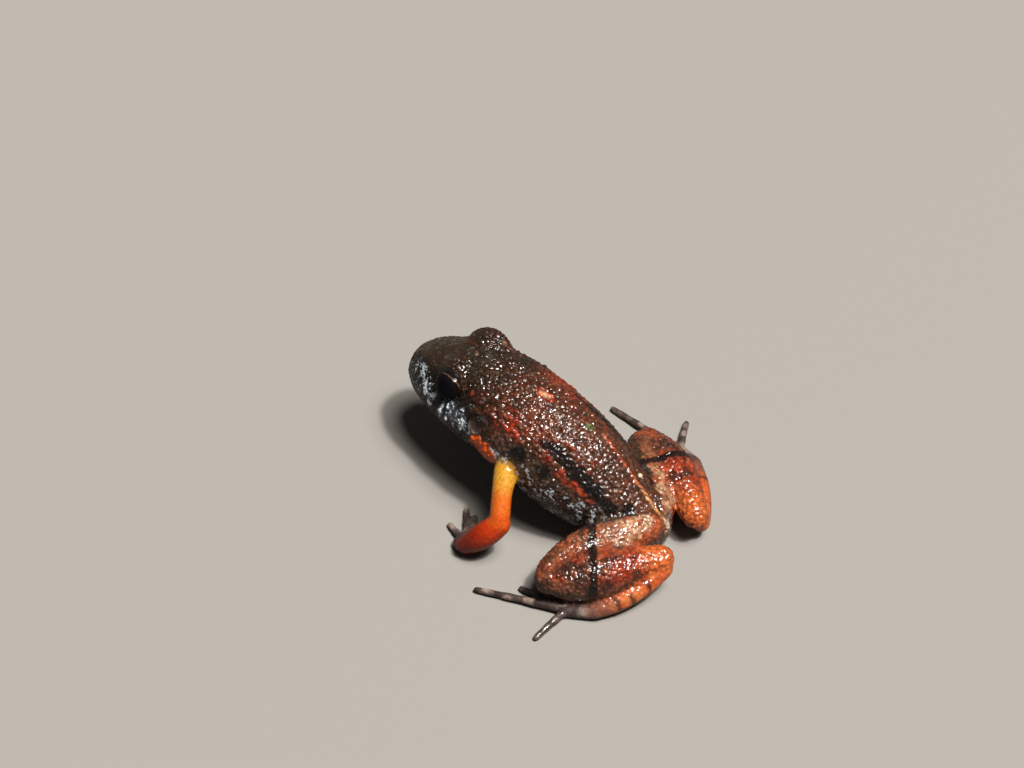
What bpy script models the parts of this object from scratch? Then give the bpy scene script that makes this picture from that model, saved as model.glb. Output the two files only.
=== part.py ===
# A small tropical bullfrog, alert and sitting, life size.
# It sits with its front raised and its back humped, its arms bent, and its long hind legs
# folded at its sides. Its head turns a little to its own right.
#
# Shapes are worked out in millimetres in the frog's own frame, (forward, left, up), with the
# floor at up = 0. They are then turned so that the frog looks along -Y, and scaled to metres.

import math

import bmesh
import bpy
import numpy as np
from mathutils import Matrix, Vector

MM = 0.001

# Clearance kept between parts that touch
GAP = 0.3

# Length from snout tip to vent, and the places along the spine that other sizes refer to
SNOUT = 13.0
NECK = 2.4
VENT = -11.3

# Sideways course of the spine: place along the body, and its offset to the left
SPINE = [
    (-12.0, -0.25),
    (-5.0, -0.20),
    (0.0, -0.40),
    (4.0, -1.05),
    (7.5, -1.75),
    (13.5, -2.75),
]

# Cross-sections of head and trunk: place along the spine, height of the back, half width and
# height of its shoulder line, of its widest line (the lips on the head, the flank on the
# trunk) and of its lower edge, and height of the throat or belly
SECTIONS = [
    (-11.1, 2.80, 0.8, 2.60, 1.1, 1.90, 0.9, 1.00, 0.60),
    (-10.0, 4.00, 1.2, 3.60, 1.9, 2.20, 1.7, 0.60, 0.05),
    (-8.0, 6.05, 1.7, 5.40, 2.7, 3.20, 2.3, 0.90, -0.12),
    (-5.5, 8.25, 2.2, 7.30, 3.7, 4.40, 3.0, 1.60, 0.60),
    (-3.0, 9.65, 2.6, 8.60, 4.3, 5.20, 3.4, 2.40, 1.60),
    (0.0, 10.55, 2.9, 9.50, 4.5, 6.10, 3.6, 3.80, 3.10),
    (3.5, 10.90, 3.0, 9.85, 4.4, 6.70, 3.6, 4.90, 4.40),
    (5.0, 10.90, 2.8, 9.95, 4.3, 6.60, 3.6, 5.10, 4.65),
    (7.5, 10.60, 2.3, 9.90, 4.0, 6.55, 3.2, 5.25, 4.85),
    (9.5, 9.90, 1.9, 9.30, 3.5, 6.55, 2.8, 5.45, 5.10),
    (11.2, 9.05, 1.5, 8.60, 2.8, 6.60, 2.2, 5.70, 5.40),
    (12.4, 8.05, 1.05, 7.85, 1.9, 6.70, 1.5, 6.00, 5.80),
]
SNOUT_TIP_UP = 7.15
VENT_UP = 2.2

# Eyes and the lids over them, left (1) and right (-1). The places are given along the spine,
# to its side and upwards; the outlook by its angles sideways and upwards; and the opening by
# the radius and reach of the ball that cuts it. The right lid hangs lower.
EYE_RADIUS = 1.28
LID_RADIUS = 2.05
EYES = {
    1: {"ball": (7.35, 2.3, 8.7), "lid": (7.45, 2.1, 8.95), "outlook": (84, 14), "cut": (1.28, 0.95)},
    -1: {"ball": (7.4, 2.4, 8.85), "lid": (7.45, 2.2, 9.0), "outlook": (84, -6), "cut": (1.15, 1.0)},
}

# Mouth, nostrils and ears
MOUTH_CORNER = 4.1
MOUTH_GROOVE = 0.16
LIP_DROP = 0.45
NOSTRIL = (11.9, 1.0, 8.1)
NOSTRIL_RADIUS = 0.24
EAR = (3.4, 8.4)
EAR_RADIUS = 0.58
EAR_GROOVE = 0.11

# Limbs: (forward, left, up, radius) from root to tip
UPPER_ARM_LEFT = [
    (1.3, 1.9, 6.6, 0.95),
    (0.9, 3.6, 6.2, 1.00),
    (0.3, 5.4, 5.2, 0.82),
    (-0.4, 6.9, 3.9, 0.82),
]
FOREARM_LEFT = [
    (-0.5, 7.1, 3.6, 0.90),
    (0.1, 7.6, 2.9, 1.02),
    (1.0, 8.1, 1.9, 0.98),
    (1.8, 8.4, 1.1, 0.72),
]
UPPER_ARM_RIGHT = [
    (1.5, -3.0, 6.4, 0.95),
    (1.0, -4.2, 5.8, 1.00),
    (-0.1, -5.4, 4.5, 0.84),
    (-1.0, -5.9, 3.3, 0.84),
]
FOREARM_RIGHT = [
    (-1.1, -6.0, 3.1, 0.90),
    (-0.4, -6.3, 2.6, 1.02),
    (0.7, -6.6, 1.8, 0.98),
    (1.7, -6.8, 1.1, 0.72),
]
THIGH_LEFT = [
    (-9.8, 0.9, 2.9, 1.50),
    (-8.7, 2.8, 2.8, 1.70),
    (-7.3, 4.8, 2.6, 1.75),
    (-6.4, 6.6, 2.4, 1.60),
    (-5.9, 8.1, 2.3, 1.30),
]
SHANK_LEFT = [
    (-6.0, 8.9, 2.3, 1.15),
    (-7.2, 8.1, 2.3, 1.65),
    (-8.9, 6.6, 2.4, 2.00),
    (-10.9, 4.6, 2.6, 1.50),
    (-12.4, 3.1, 2.8, 1.05),
]
TARSUS_LEFT = [
    (-12.8, 3.4, 2.2, 0.80),
    (-12.2, 5.3, 1.7, 0.78),
    (-11.1, 7.2, 1.1, 0.74),
    (-9.9, 8.6, 0.75, 0.66),
]
THIGH_RIGHT = [
    (-9.6, -1.2, 2.8, 1.45),
    (-8.3, -2.7, 2.7, 1.65),
    (-7.0, -4.1, 2.6, 1.70),
    (-6.0, -5.5, 2.4, 1.55),
    (-5.4, -6.8, 2.3, 1.30),
]
SHANK_RIGHT = [
    (-5.5, -7.4, 2.3, 1.15),
    (-6.8, -6.7, 2.3, 1.60),
    (-8.7, -5.4, 2.4, 1.85),
    (-10.8, -3.8, 2.5, 1.45),
    (-12.5, -2.3, 2.6, 1.05),
]
TARSUS_RIGHT = [
    (-12.8, -2.7, 1.6, 0.78),
    (-12.0, -4.5, 1.1, 0.76),
    (-10.7, -6.6, 0.9, 0.74),
    (-9.4, -8.2, 0.72, 0.66),
]

# Hands: palm centre, and tip and root radius of each finger from the inner one outwards
HAND_LEFT = {
    "palm": (2.0, 7.9, 0.55),
    "palm_size": (1.15, 1.0, 0.55),
    "digits": [(1.9, 5.7), (3.0, 5.0), (4.0, 4.7), (4.3, 6.7)],
    "radius": 0.36,
}
HAND_RIGHT = {
    "palm": (2.1, -6.9, 0.55),
    "palm_size": (1.15, 1.0, 0.55),
    "digits": [(2.7, -4.6), (4.0, -4.6), (5.1, -5.2), (4.4, -7.0)],
    "radius": 0.36,
}

# Feet: heel of the sole, its front, and the tip of each toe from the inner one outwards
FOOT_LEFT = {
    "heel": (-9.6, 8.8),
    "front": (-7.9, 9.5),
    "digits": [(-7.4, 7.6), (-5.9, 8.3), (-3.8, 9.3), (-0.9, 11.2), (-7.2, 12.8)],
    "radius": 0.38,
}
FOOT_RIGHT = {
    "heel": (-9.2, -8.7),
    "front": (-7.4, -9.3),
    "digits": [(-7.0, -7.4), (-5.5, -8.0), (-3.4, -9.0), (-0.4, -10.8), (-6.3, -12.5)],
    "radius": 0.38,
}
DIGIT_UP = 0.33
DIGIT_TIP = 0.27


# Curves

def smooth(keys, values, at):
    """Values on a smooth curve through (key, value) rows; keys rise."""
    keys = np.asarray(keys, float)
    values = np.asarray(values, float)
    slopes = np.gradient(values, keys, axis=0)
    i = int(np.clip(np.searchsorted(keys, at) - 1, 0, len(keys) - 2))
    width = keys[i + 1] - keys[i]
    s = min(max((at - keys[i]) / width, 0.0), 1.0)
    a = values[i]
    b = values[i + 1]
    return (
        a * (2 * s**3 - 3 * s**2 + 1)
        + slopes[i] * width * (s**3 - 2 * s**2 + s)
        + b * (3 * s**2 - 2 * s**3)
        + slopes[i + 1] * width * (s**3 - s**2)
    )


def smooth_path(rows, count):
    """Rows of a path made denser along a smooth curve, evenly by length."""
    rows = np.asarray(rows, float)
    steps = np.linalg.norm(np.diff(rows[:, :3], axis=0), axis=1)
    keys = np.concatenate([[0.0], np.cumsum(steps)])
    return np.array([smooth(keys, rows, s) for s in np.linspace(0, keys[-1], count)])


def closed_loop(points, count):
    """Evenly spaced points on a smooth closed loop through the given ones."""
    points = np.asarray(points, float)
    ring = np.vstack([points[-3:], points, points[:3]])
    steps = np.linalg.norm(np.diff(ring, axis=0), axis=1)
    keys = np.concatenate([[0.0], np.cumsum(steps)])
    start = keys[3]
    end = keys[3 + len(points)]
    fine = np.array([smooth(keys, ring, s) for s in np.linspace(start, end, 241)])
    lengths = np.concatenate([[0.0], np.cumsum(np.linalg.norm(np.diff(fine, axis=0), axis=1))])
    wanted = np.arange(count) * lengths[-1] / count
    return np.column_stack([np.interp(wanted, lengths, fine[:, k]) for k in range(fine.shape[1])])


# Spine and body sections

def spine(at):
    """Point of the spine on the floor plan, and the unit vectors forward and left there."""
    keys = [row[0] for row in SPINE]
    lefts = [row[1] for row in SPINE]
    left = float(smooth(keys, lefts, at))
    slope = float(smooth(keys, lefts, at + 0.05) - smooth(keys, lefts, at - 0.05)) / 0.1
    ahead = np.array([1.0, slope, 0.0]) / math.hypot(1.0, slope)
    return np.array([at, left, 0.0]), ahead, np.array([-ahead[1], ahead[0], 0.0])


def on_body(at, side, up):
    """Point at a place along the spine, a distance to its left and a height."""
    centre, ahead, left = spine(at)
    return centre + left * side + np.array([0.0, 0.0, up])


def section_sizes(at):
    keys = [row[0] for row in SECTIONS]
    return smooth(keys, [row[1:] for row in SECTIONS], at)


def section_ring(at, count):
    """Ring of body points at a place along the spine."""
    back, w1, u1, w2, u2, w3, u3, belly = section_sizes(at)
    half = [(0.0, back), (w1, u1), (w2, u2), (w3, u3), (0.0, belly)]
    other = [(-w, u) for w, u in reversed(half[1:-1])]
    loop = closed_loop(half + other, count)
    return [on_body(at, side, up) for side, up in loop]


def half_width(at, up):
    """Distance from the spine's plane to the skin at a height."""
    back, w1, u1, w2, u2, w3, u3, belly = section_sizes(at)
    half = [(0.0, back), (w1, u1), (w2, u2), (w3, u3), (0.0, belly)]
    other = [(-w, u) for w, u in reversed(half[1:-1])]
    loop = closed_loop(half + other, 120)
    side = loop[loop[:, 0] > 0.0]
    order = np.argsort(side[:, 1])
    return float(np.interp(up, side[order, 1], side[order, 0]))


# Meshes, in millimetres in the frog's frame until they are placed

def new_object(name, mesh):
    thing = bpy.data.objects.new(name, mesh)
    bpy.context.scene.collection.objects.link(thing)
    return thing


def face_outwards(bm):
    bmesh.ops.recalc_face_normals(bm, faces=bm.faces)
    if bm.calc_volume(signed=True) < 0:
        bmesh.ops.reverse_faces(bm, faces=bm.faces)


def from_bmesh(name, bm):
    face_outwards(bm)
    mesh = bpy.data.meshes.new(name)
    bm.to_mesh(mesh)
    bm.free()
    return new_object(name, mesh)


def loft(name, rings, start_tip=None, end_tip=None):
    """Closed surface through rings of equal count, its ends flat or drawn to a tip."""
    bm = bmesh.new()
    rows = [[bm.verts.new(Vector(point)) for point in ring] for ring in rings]
    count = len(rows[0])
    for one, two in zip(rows, rows[1:]):
        for k in range(count):
            bm.faces.new((one[k], one[(k + 1) % count], two[(k + 1) % count], two[k]))
    for row, tip in ((rows[0], start_tip), (rows[-1], end_tip)):
        if tip is None:
            bm.faces.new(row)
        else:
            point = bm.verts.new(Vector(tip))
            for k in range(count):
                bm.faces.new((row[k], row[(k + 1) % count], point))
    return from_bmesh(name, bm)


def tube(name, rows, count, sides, cap_rings=3):
    """Round-ended limb along rows of (forward, left, up, radius)."""
    path = smooth_path(rows, count)
    points = path[:, :3]
    radii = path[:, 3]
    tangents = np.gradient(points, axis=0)
    tangents /= np.linalg.norm(tangents, axis=1)[:, None]
    rings = []

    def ring(centre, tangent, radius):
        across = np.cross(tangent, (0.0, 0.0, 1.0))
        if np.linalg.norm(across) < 0.2:
            across = np.cross(tangent, (0.0, 1.0, 0.0))
        across /= np.linalg.norm(across)
        over = np.cross(across, tangent)
        angles = np.arange(sides) * 2 * math.pi / sides
        return [centre + radius * (math.cos(a) * across + math.sin(a) * over) for a in angles]

    for k in range(cap_rings, 0, -1):
        angle = k * math.pi / 2 / (cap_rings + 1)
        centre = points[0] - tangents[0] * radii[0] * math.sin(angle)
        rings.append(ring(centre, tangents[0], radii[0] * math.cos(angle)))
    for k in range(len(points)):
        rings.append(ring(points[k], tangents[k], radii[k]))
    for k in range(1, cap_rings + 1):
        angle = k * math.pi / 2 / (cap_rings + 1)
        centre = points[-1] + tangents[-1] * radii[-1] * math.sin(angle)
        rings.append(ring(centre, tangents[-1], radii[-1] * math.cos(angle)))
    first = points[0] - tangents[0] * radii[0]
    last = points[-1] + tangents[-1] * radii[-1]
    return loft(name, rings, first, last)


def ball(name, centre, size, segments=20, rings=14, turn=0.0):
    """Ellipsoid with half sizes along forward, left and up, turned about the vertical."""
    bm = bmesh.new()
    bmesh.ops.create_uvsphere(bm, u_segments=segments, v_segments=rings, radius=1.0)
    shape = Matrix.Translation(Vector(centre)) @ Matrix.Rotation(turn, 4, "Z")
    bmesh.ops.transform(bm, matrix=shape @ Matrix.Diagonal((*size, 1.0)), verts=bm.verts)
    return from_bmesh(name, bm)


def ring_body(name, centre, axis, radius, thick, segments=20, sides=6):
    """Torus about an axis."""
    axis = Vector(axis).normalized()
    across = axis.orthogonal().normalized()
    over = axis.cross(across)
    rings = []
    for k in range(segments):
        a = 2 * math.pi * k / segments
        out = across * math.cos(a) + over * math.sin(a)
        rings.append([
            Vector(centre) + out * (radius + thick * math.cos(b)) + axis * thick * math.sin(b)
            for b in (2 * math.pi * j / sides for j in range(sides))
        ])
    bm = bmesh.new()
    rows = [[bm.verts.new(point) for point in ring] for ring in rings]
    for k in range(segments):
        one = rows[k]
        two = rows[(k + 1) % segments]
        for j in range(sides):
            bm.faces.new((one[j], one[(j + 1) % sides], two[(j + 1) % sides], two[j]))
    return from_bmesh(name, bm)


# Joining and cutting

def settle(thing, modifier):
    """Keeps a modifier's result as the object's own mesh."""
    graph = bpy.context.evaluated_depsgraph_get()
    mesh = bpy.data.meshes.new_from_object(thing.evaluated_get(graph))
    thing.modifiers.remove(modifier)
    old = thing.data
    thing.data = mesh
    bpy.data.meshes.remove(old)


def remove(things):
    for thing in things:
        mesh = thing.data
        bpy.data.objects.remove(thing)
        bpy.data.meshes.remove(mesh)


def largest_surface(thing):
    """Keeps only the largest closed surface of a node."""
    bm = bmesh.new()
    bm.from_mesh(thing.data)
    bm.faces.ensure_lookup_table()
    left = set(bm.faces)
    shells = []
    while left:
        stack = [left.pop()]
        shell = set(stack)
        while stack:
            for edge in stack.pop().edges:
                for face in edge.link_faces:
                    if face in left:
                        left.discard(face)
                        shell.add(face)
                        stack.append(face)
        shells.append(shell)
    keep = max(shells, key=lambda shell: sum(face.calc_area() for face in shell))
    extra = [face for shell in shells if shell is not keep for face in shell]
    bmesh.ops.delete(bm, geom=extra, context="FACES")
    bm.to_mesh(thing.data)
    bm.free()


def boolean(thing, others, operation):
    """One Boolean of an object with all the others, which are used up."""
    group = bpy.data.collections.new("pieces")
    for other in others:
        group.objects.link(other)
    modifier = thing.modifiers.new("joined", "BOOLEAN")
    modifier.operation = operation
    modifier.operand_type = "COLLECTION"
    modifier.collection = group
    modifier.solver = "EXACT"
    settle(thing, modifier)
    bpy.data.collections.remove(group)
    remove(others)
    largest_surface(thing)
    return thing


def union(name, pieces):
    thing = pieces[0]
    thing.name = name
    if len(pieces) > 1:
        boolean(thing, pieces[1:], "UNION")
    return thing


def grown(thing, amount):
    """Copy of an object with its surface moved outwards."""
    mesh = thing.data.copy()
    copy = new_object("grown", mesh)
    bm = bmesh.new()
    bm.from_mesh(mesh)
    bm.normal_update()
    moves = [(vert, vert.normal * amount) for vert in bm.verts]
    for vert, move in moves:
        vert.co += move
    bm.to_mesh(mesh)
    bm.free()
    return copy


def cut(thing, cutters):
    return boolean(thing, cutters, "DIFFERENCE")


def trim_floor(thing):
    """Cuts off whatever lies below the floor, which leaves small flats at one level."""
    bm = bmesh.new()
    bm.from_mesh(thing.data)
    low = min(vert.co.z for vert in bm.verts)
    if low < 0.0:
        geometry = bm.verts[:] + bm.edges[:] + bm.faces[:]
        result = bmesh.ops.bisect_plane(
            bm, geom=geometry, dist=1e-5, plane_co=(0, 0, 0), plane_no=(0, 0, -1), clear_outer=True
        )
        rim = [item for item in result["geom_cut"] if isinstance(item, bmesh.types.BMEdge)]
        bmesh.ops.edgeloop_fill(bm, edges=rim)
    face_outwards(bm)
    bm.to_mesh(thing.data)
    bm.free()
    return thing


# Parts of the frog

def body_length(name, start, end, count, around, start_tip, end_tip):
    rings = [section_ring(at, around) for at in np.linspace(start, end, count)]
    return loft(name, rings, start_tip, end_tip)


def eye_centre(side):
    at, width, up = EYES[side]["ball"]
    return on_body(at, side * width, up)


def lid_centre(side):
    at, width, up = EYES[side]["lid"]
    return on_body(at, side * width, up)


def eye_outlook(side):
    """Direction that an eye faces: sideways, a little forward."""
    sideways, upward = np.radians(EYES[side]["outlook"])
    centre, ahead, left = spine(EYES[side]["ball"][0])
    level = ahead * math.cos(sideways) + left * side * math.sin(sideways)
    return level * math.cos(upward) + np.array([0.0, 0.0, math.sin(upward)])


def make_torso():
    end = NECK - GAP / 2
    tip = on_body(VENT, 0.0, VENT_UP)
    torso = body_length("torso", SECTIONS[0][0], end, 34, 40, tip, None)
    return trim_floor(torso)


def make_head():
    start = NECK + GAP / 2
    tip = on_body(SNOUT, 0.0, SNOUT_TIP_UP)
    places = list(np.linspace(start, 11.0, 18)) + [11.5, 11.9, 12.2, 12.4]
    rings = [section_ring(at, 44) for at in places]
    last = section_ring(12.4, 44)
    middle = on_body(12.4, 0.0, SNOUT_TIP_UP)
    for push, shrink in ((0.28, 0.80), (0.48, 0.52), (0.58, 0.25)):
        ahead = spine(12.4)[1] * push
        rings.append([middle + (point - middle) * shrink + ahead for point in last])
    pieces = [loft("head", rings, None, tip)]
    for side in (1, -1):
        size = (LID_RADIUS, LID_RADIUS, LID_RADIUS)
        pieces.append(ball("lid", lid_centre(side), size, 22, 14))
    head = union("head", pieces)
    holes = []
    for side in (1, -1):
        centre = eye_centre(side)
        outlook = eye_outlook(side)
        socket = EYE_RADIUS + GAP * 0.8
        holes.append(ball("socket", centre, (socket,) * 3, 20, 14))
        radius, reach = EYES[side]["cut"]
        holes.append(ball("opening", centre + outlook * reach, (radius,) * 3, 20, 14))
        at, width, up = NOSTRIL
        pit = on_body(at, side * width, up)
        holes.append(ball("nostril", pit, (NOSTRIL_RADIUS * 1.3, NOSTRIL_RADIUS, NOSTRIL_RADIUS), 10, 8))
        at, up = EAR
        place = on_body(at, side * half_width(at, up), up)
        slant = half_width(at, up - 0.3) - half_width(at, up + 0.3)
        facing = spine(at)[2] * side + np.array([0.0, 0.0, slant / 0.6])
        holes.append(ring_body("ear", place, facing, EAR_RADIUS, EAR_GROOVE, 16, 6))
    holes.append(mouth_line())
    return cut(head, holes)


def mouth_line():
    """Thin round bar along the lips, which cuts the line of the mouth."""
    path = []
    places = np.linspace(MOUTH_CORNER, 12.4, 18)
    for side, order in ((1, places), (-1, places[::-1])):
        for at in order:
            lip = section_sizes(at)[4] - LIP_DROP
            path.append((*on_body(at, side * (half_width(at, lip) + 0.02), lip), MOUTH_GROOVE))
        if side == 1:
            path.append((*on_body(12.72, 1.05, 6.27), MOUTH_GROOVE))
            path.append((*on_body(12.86, 0.0, 6.25), MOUTH_GROOVE))
            path.append((*on_body(12.72, -1.05, 6.27), MOUTH_GROOVE))
    return tube("mouth", path, 36, 6, 1)


def make_limb(name, rows, count, sides, neighbours):
    limb = tube(name, rows, count, sides)
    if neighbours:
        cut(limb, [grown(neighbour, GAP) for neighbour in neighbours])
    return trim_floor(limb)


def digit(start, tip, root_radius):
    """Finger or toe from its root to its tip, slightly arched, with a bead at each joint."""
    start = np.array([start[0], start[1], DIGIT_UP + 0.12])
    end = np.array([tip[0], tip[1], DIGIT_TIP * 0.9])
    length = float(np.linalg.norm(end - start))
    rows = []
    for s in (0.0, 0.25, 0.5, 0.75, 1.0):
        point = start + (end - start) * s
        point[2] += 0.10 * math.sin(math.pi * s) * min(length, 3.0) / 3.0
        radius = root_radius + (DIGIT_TIP - root_radius) * s
        rows.append((*point, radius))
    return tube("digit", rows, max(5, int(length / 0.55)), 8, 1)


def make_hand(name, sizes, neighbours):
    palm = sizes["palm"]
    pieces = [ball(name, palm, sizes["palm_size"], 14, 10)]
    for tip in sizes["digits"]:
        pieces.append(digit(palm[:2], tip, sizes["radius"]))
    hand = union(name, pieces)
    cut(hand, [grown(neighbour, GAP) for neighbour in neighbours])
    return trim_floor(hand)


def make_foot(name, sizes, neighbours):
    heel = sizes["heel"]
    front = sizes["front"]
    sole = [(*heel, 0.55, 0.55), (*front, 0.50, 0.55)]
    pieces = [tube(name, sole, 5, 12, 2)]
    for tip in sizes["digits"]:
        pieces.append(digit(front, tip, sizes["radius"]))
    foot = union(name, pieces)
    cut(foot, [grown(neighbour, GAP) for neighbour in neighbours])
    return trim_floor(foot)


def paint(name, colour, roughness):
    material = bpy.data.materials.new(name)
    material.use_nodes = True
    shader = material.node_tree.nodes["Principled BSDF"]
    shader.inputs["Base Color"].default_value = (*colour, 1.0)
    shader.inputs["Roughness"].default_value = roughness
    shader.inputs["Metallic"].default_value = 0.0
    return material


def main():
    for thing in list(bpy.data.objects):
        bpy.data.objects.remove(thing)

    head = make_head()
    torso = make_torso()
    parts = {"head": head, "torso": torso}
    for side, name in ((1, "eye_left"), (-1, "eye_right")):
        parts[name] = ball(name, eye_centre(side), (EYE_RADIUS,) * 3, 18, 12)

    limbs = {
        "left": (UPPER_ARM_LEFT, FOREARM_LEFT, HAND_LEFT,
                 THIGH_LEFT, SHANK_LEFT, TARSUS_LEFT, FOOT_LEFT),
        "right": (UPPER_ARM_RIGHT, FOREARM_RIGHT, HAND_RIGHT,
                  THIGH_RIGHT, SHANK_RIGHT, TARSUS_RIGHT, FOOT_RIGHT),
    }
    for side, (upper, fore, hand, thigh, shank, tarsus, foot) in limbs.items():
        upper_arm = make_limb(f"upper_arm_{side}", upper, 10, 16, [torso, head])
        forearm = make_limb(f"forearm_{side}", fore, 9, 16, [upper_arm])
        palm = make_hand(f"hand_{side}", hand, [forearm])
        upper_leg = make_limb(f"thigh_{side}", thigh, 12, 18, [torso])
        lower_leg = make_limb(f"shank_{side}", shank, 13, 18, [upper_leg, torso])
        ankle = make_limb(f"tarsus_{side}", tarsus, 10, 12, [lower_leg])
        sole = make_foot(f"foot_{side}", foot, [ankle, lower_leg])
        for part in (upper_arm, forearm, palm, upper_leg, lower_leg, ankle, sole):
            parts[part.name] = part

    paints = {
        "back_skin": paint("back_skin", (0.055, 0.035, 0.030), 0.30),
        "head_skin": paint("head_skin", (0.060, 0.055, 0.060), 0.30),
        "arm_skin": paint("arm_skin", (0.45, 0.085, 0.015), 0.25),
        "leg_skin": paint("leg_skin", (0.30, 0.060, 0.020), 0.30),
        "foot_skin": paint("foot_skin", (0.10, 0.075, 0.065), 0.35),
        "eye": paint("eye", (0.006, 0.006, 0.008), 0.05),
    }
    finish = {
        "head": "head_skin", "torso": "back_skin", "eye": "eye", "upper": "arm_skin",
        "forearm": "arm_skin", "hand": "foot_skin", "thigh": "leg_skin", "shank": "leg_skin",
        "tarsus": "leg_skin", "foot": "foot_skin",
    }

    # Turn the frog to look along -Y, in metres, standing on the floor about the origin
    turn = Matrix(((0, 1, 0, 0), (-1, 0, 0, 0), (0, 0, 1, 0), (0, 0, 0, 1)))
    for part in parts.values():
        part.data.transform(turn @ Matrix.Scale(MM, 4))
    corners = np.array([vert.co[:] for part in parts.values() for vert in part.data.vertices])
    low = corners.min(axis=0)
    high = corners.max(axis=0)
    shift = Vector((-(low[0] + high[0]) / 2, -(low[1] + high[1]) / 2, -low[2]))
    for name, part in parts.items():
        part.data.transform(Matrix.Translation(shift))
        part.data.materials.clear()
        part.data.materials.append(paints[finish[name.split("_")[0]]])
        part.data.shade_smooth()
        part.data.set_sharp_from_angle(angle=math.radians(50))


main()
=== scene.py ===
# The looks of a small tropical bullfrog, life size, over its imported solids.
# One wet, warty skin stands for the flesh, and two glossy eyeballs sit under its lids.
#
# Shapes are worked out in millimetres in the frog's own frame, (forward, left, up), with the
# floor at up = 0, and are placed in metres at the end, where the solids have the same frog.

import math

import bmesh
import bpy
import numpy as np
from mathutils import Matrix, Vector
from mathutils.bvhtree import BVHTree
from mathutils.kdtree import KDTree


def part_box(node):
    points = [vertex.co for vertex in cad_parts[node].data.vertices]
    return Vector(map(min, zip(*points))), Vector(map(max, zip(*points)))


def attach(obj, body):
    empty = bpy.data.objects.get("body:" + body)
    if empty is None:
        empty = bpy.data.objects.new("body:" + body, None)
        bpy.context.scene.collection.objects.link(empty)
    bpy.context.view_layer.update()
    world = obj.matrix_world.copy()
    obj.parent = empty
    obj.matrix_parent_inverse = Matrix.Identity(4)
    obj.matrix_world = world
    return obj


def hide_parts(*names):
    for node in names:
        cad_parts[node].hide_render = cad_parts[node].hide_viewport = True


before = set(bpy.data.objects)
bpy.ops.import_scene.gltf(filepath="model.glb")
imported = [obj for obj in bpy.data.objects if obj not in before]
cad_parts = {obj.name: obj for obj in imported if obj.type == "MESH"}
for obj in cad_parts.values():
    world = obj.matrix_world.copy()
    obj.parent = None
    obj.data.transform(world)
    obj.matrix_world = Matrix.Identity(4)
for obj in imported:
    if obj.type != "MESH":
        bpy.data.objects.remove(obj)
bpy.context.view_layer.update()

MM = 0.001
rng = np.random.default_rng(7)

# Sizes shared with the solids

SNOUT = 13.0
VENT = -11.3
SPINE = [
    (-12.0, -0.25),
    (-5.0, -0.20),
    (0.0, -0.40),
    (4.0, -1.05),
    (7.5, -1.75),
    (13.5, -2.75),
]

# Cross-sections of head and trunk: place along the spine, height of the back, half width and
# height of its shoulder line, of its widest line and of its lower edge, and the belly's height
SECTIONS = [
    (-11.1, 2.80, 0.8, 2.60, 1.1, 1.90, 0.9, 1.00, 0.60),
    (-10.0, 4.00, 1.2, 3.60, 1.9, 2.20, 1.7, 0.60, 0.05),
    (-8.0, 6.05, 1.7, 5.40, 2.7, 3.20, 2.3, 0.90, -0.12),
    (-5.5, 8.25, 2.2, 7.30, 3.7, 4.40, 3.0, 1.60, 0.60),
    (-3.0, 9.65, 2.6, 8.60, 4.3, 5.20, 3.4, 2.40, 1.60),
    (0.0, 10.55, 2.9, 9.50, 4.5, 6.10, 3.6, 3.80, 3.10),
    (3.5, 10.90, 3.0, 9.85, 4.4, 6.70, 3.6, 4.90, 4.40),
    (5.0, 10.90, 2.8, 9.95, 4.3, 6.60, 3.6, 5.10, 4.65),
    (7.5, 10.60, 2.3, 9.90, 4.0, 6.55, 3.2, 5.25, 4.85),
    (9.5, 9.90, 1.9, 9.30, 3.5, 6.55, 2.8, 5.45, 5.10),
    (11.2, 9.05, 1.5, 8.60, 2.8, 6.60, 2.2, 5.70, 5.40),
    (12.4, 8.05, 1.05, 7.85, 1.9, 6.70, 1.5, 6.00, 5.80),
]
SNOUT_TIP_UP = 7.15
VENT_UP = 2.2

# Eyes and the lids over them, left (1) and right (-1). The places are given along the spine,
# to its side and upwards; the outlook by its angles sideways and upwards; and the opening by
# its half angle. The right lid hangs lower.
EYE_RADIUS = 1.28
LID_RADIUS = 2.05
RIND = 0.16
EYES = {
    1: {"ball": (7.35, 2.3, 8.7), "lid": (7.45, 2.1, 8.95), "outlook": (84, 14), "opening": 75},
    -1: {"ball": (7.4, 2.4, 8.85), "lid": (7.45, 2.2, 9.0), "outlook": (84, -6), "opening": 55},
}

MOUTH_CORNER = 4.1
LIP_DROP = 0.45
NOSTRIL = (11.9, 1.0, 8.1)
EAR = (3.4, 8.4)
EAR_RADIUS = 0.58

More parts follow.
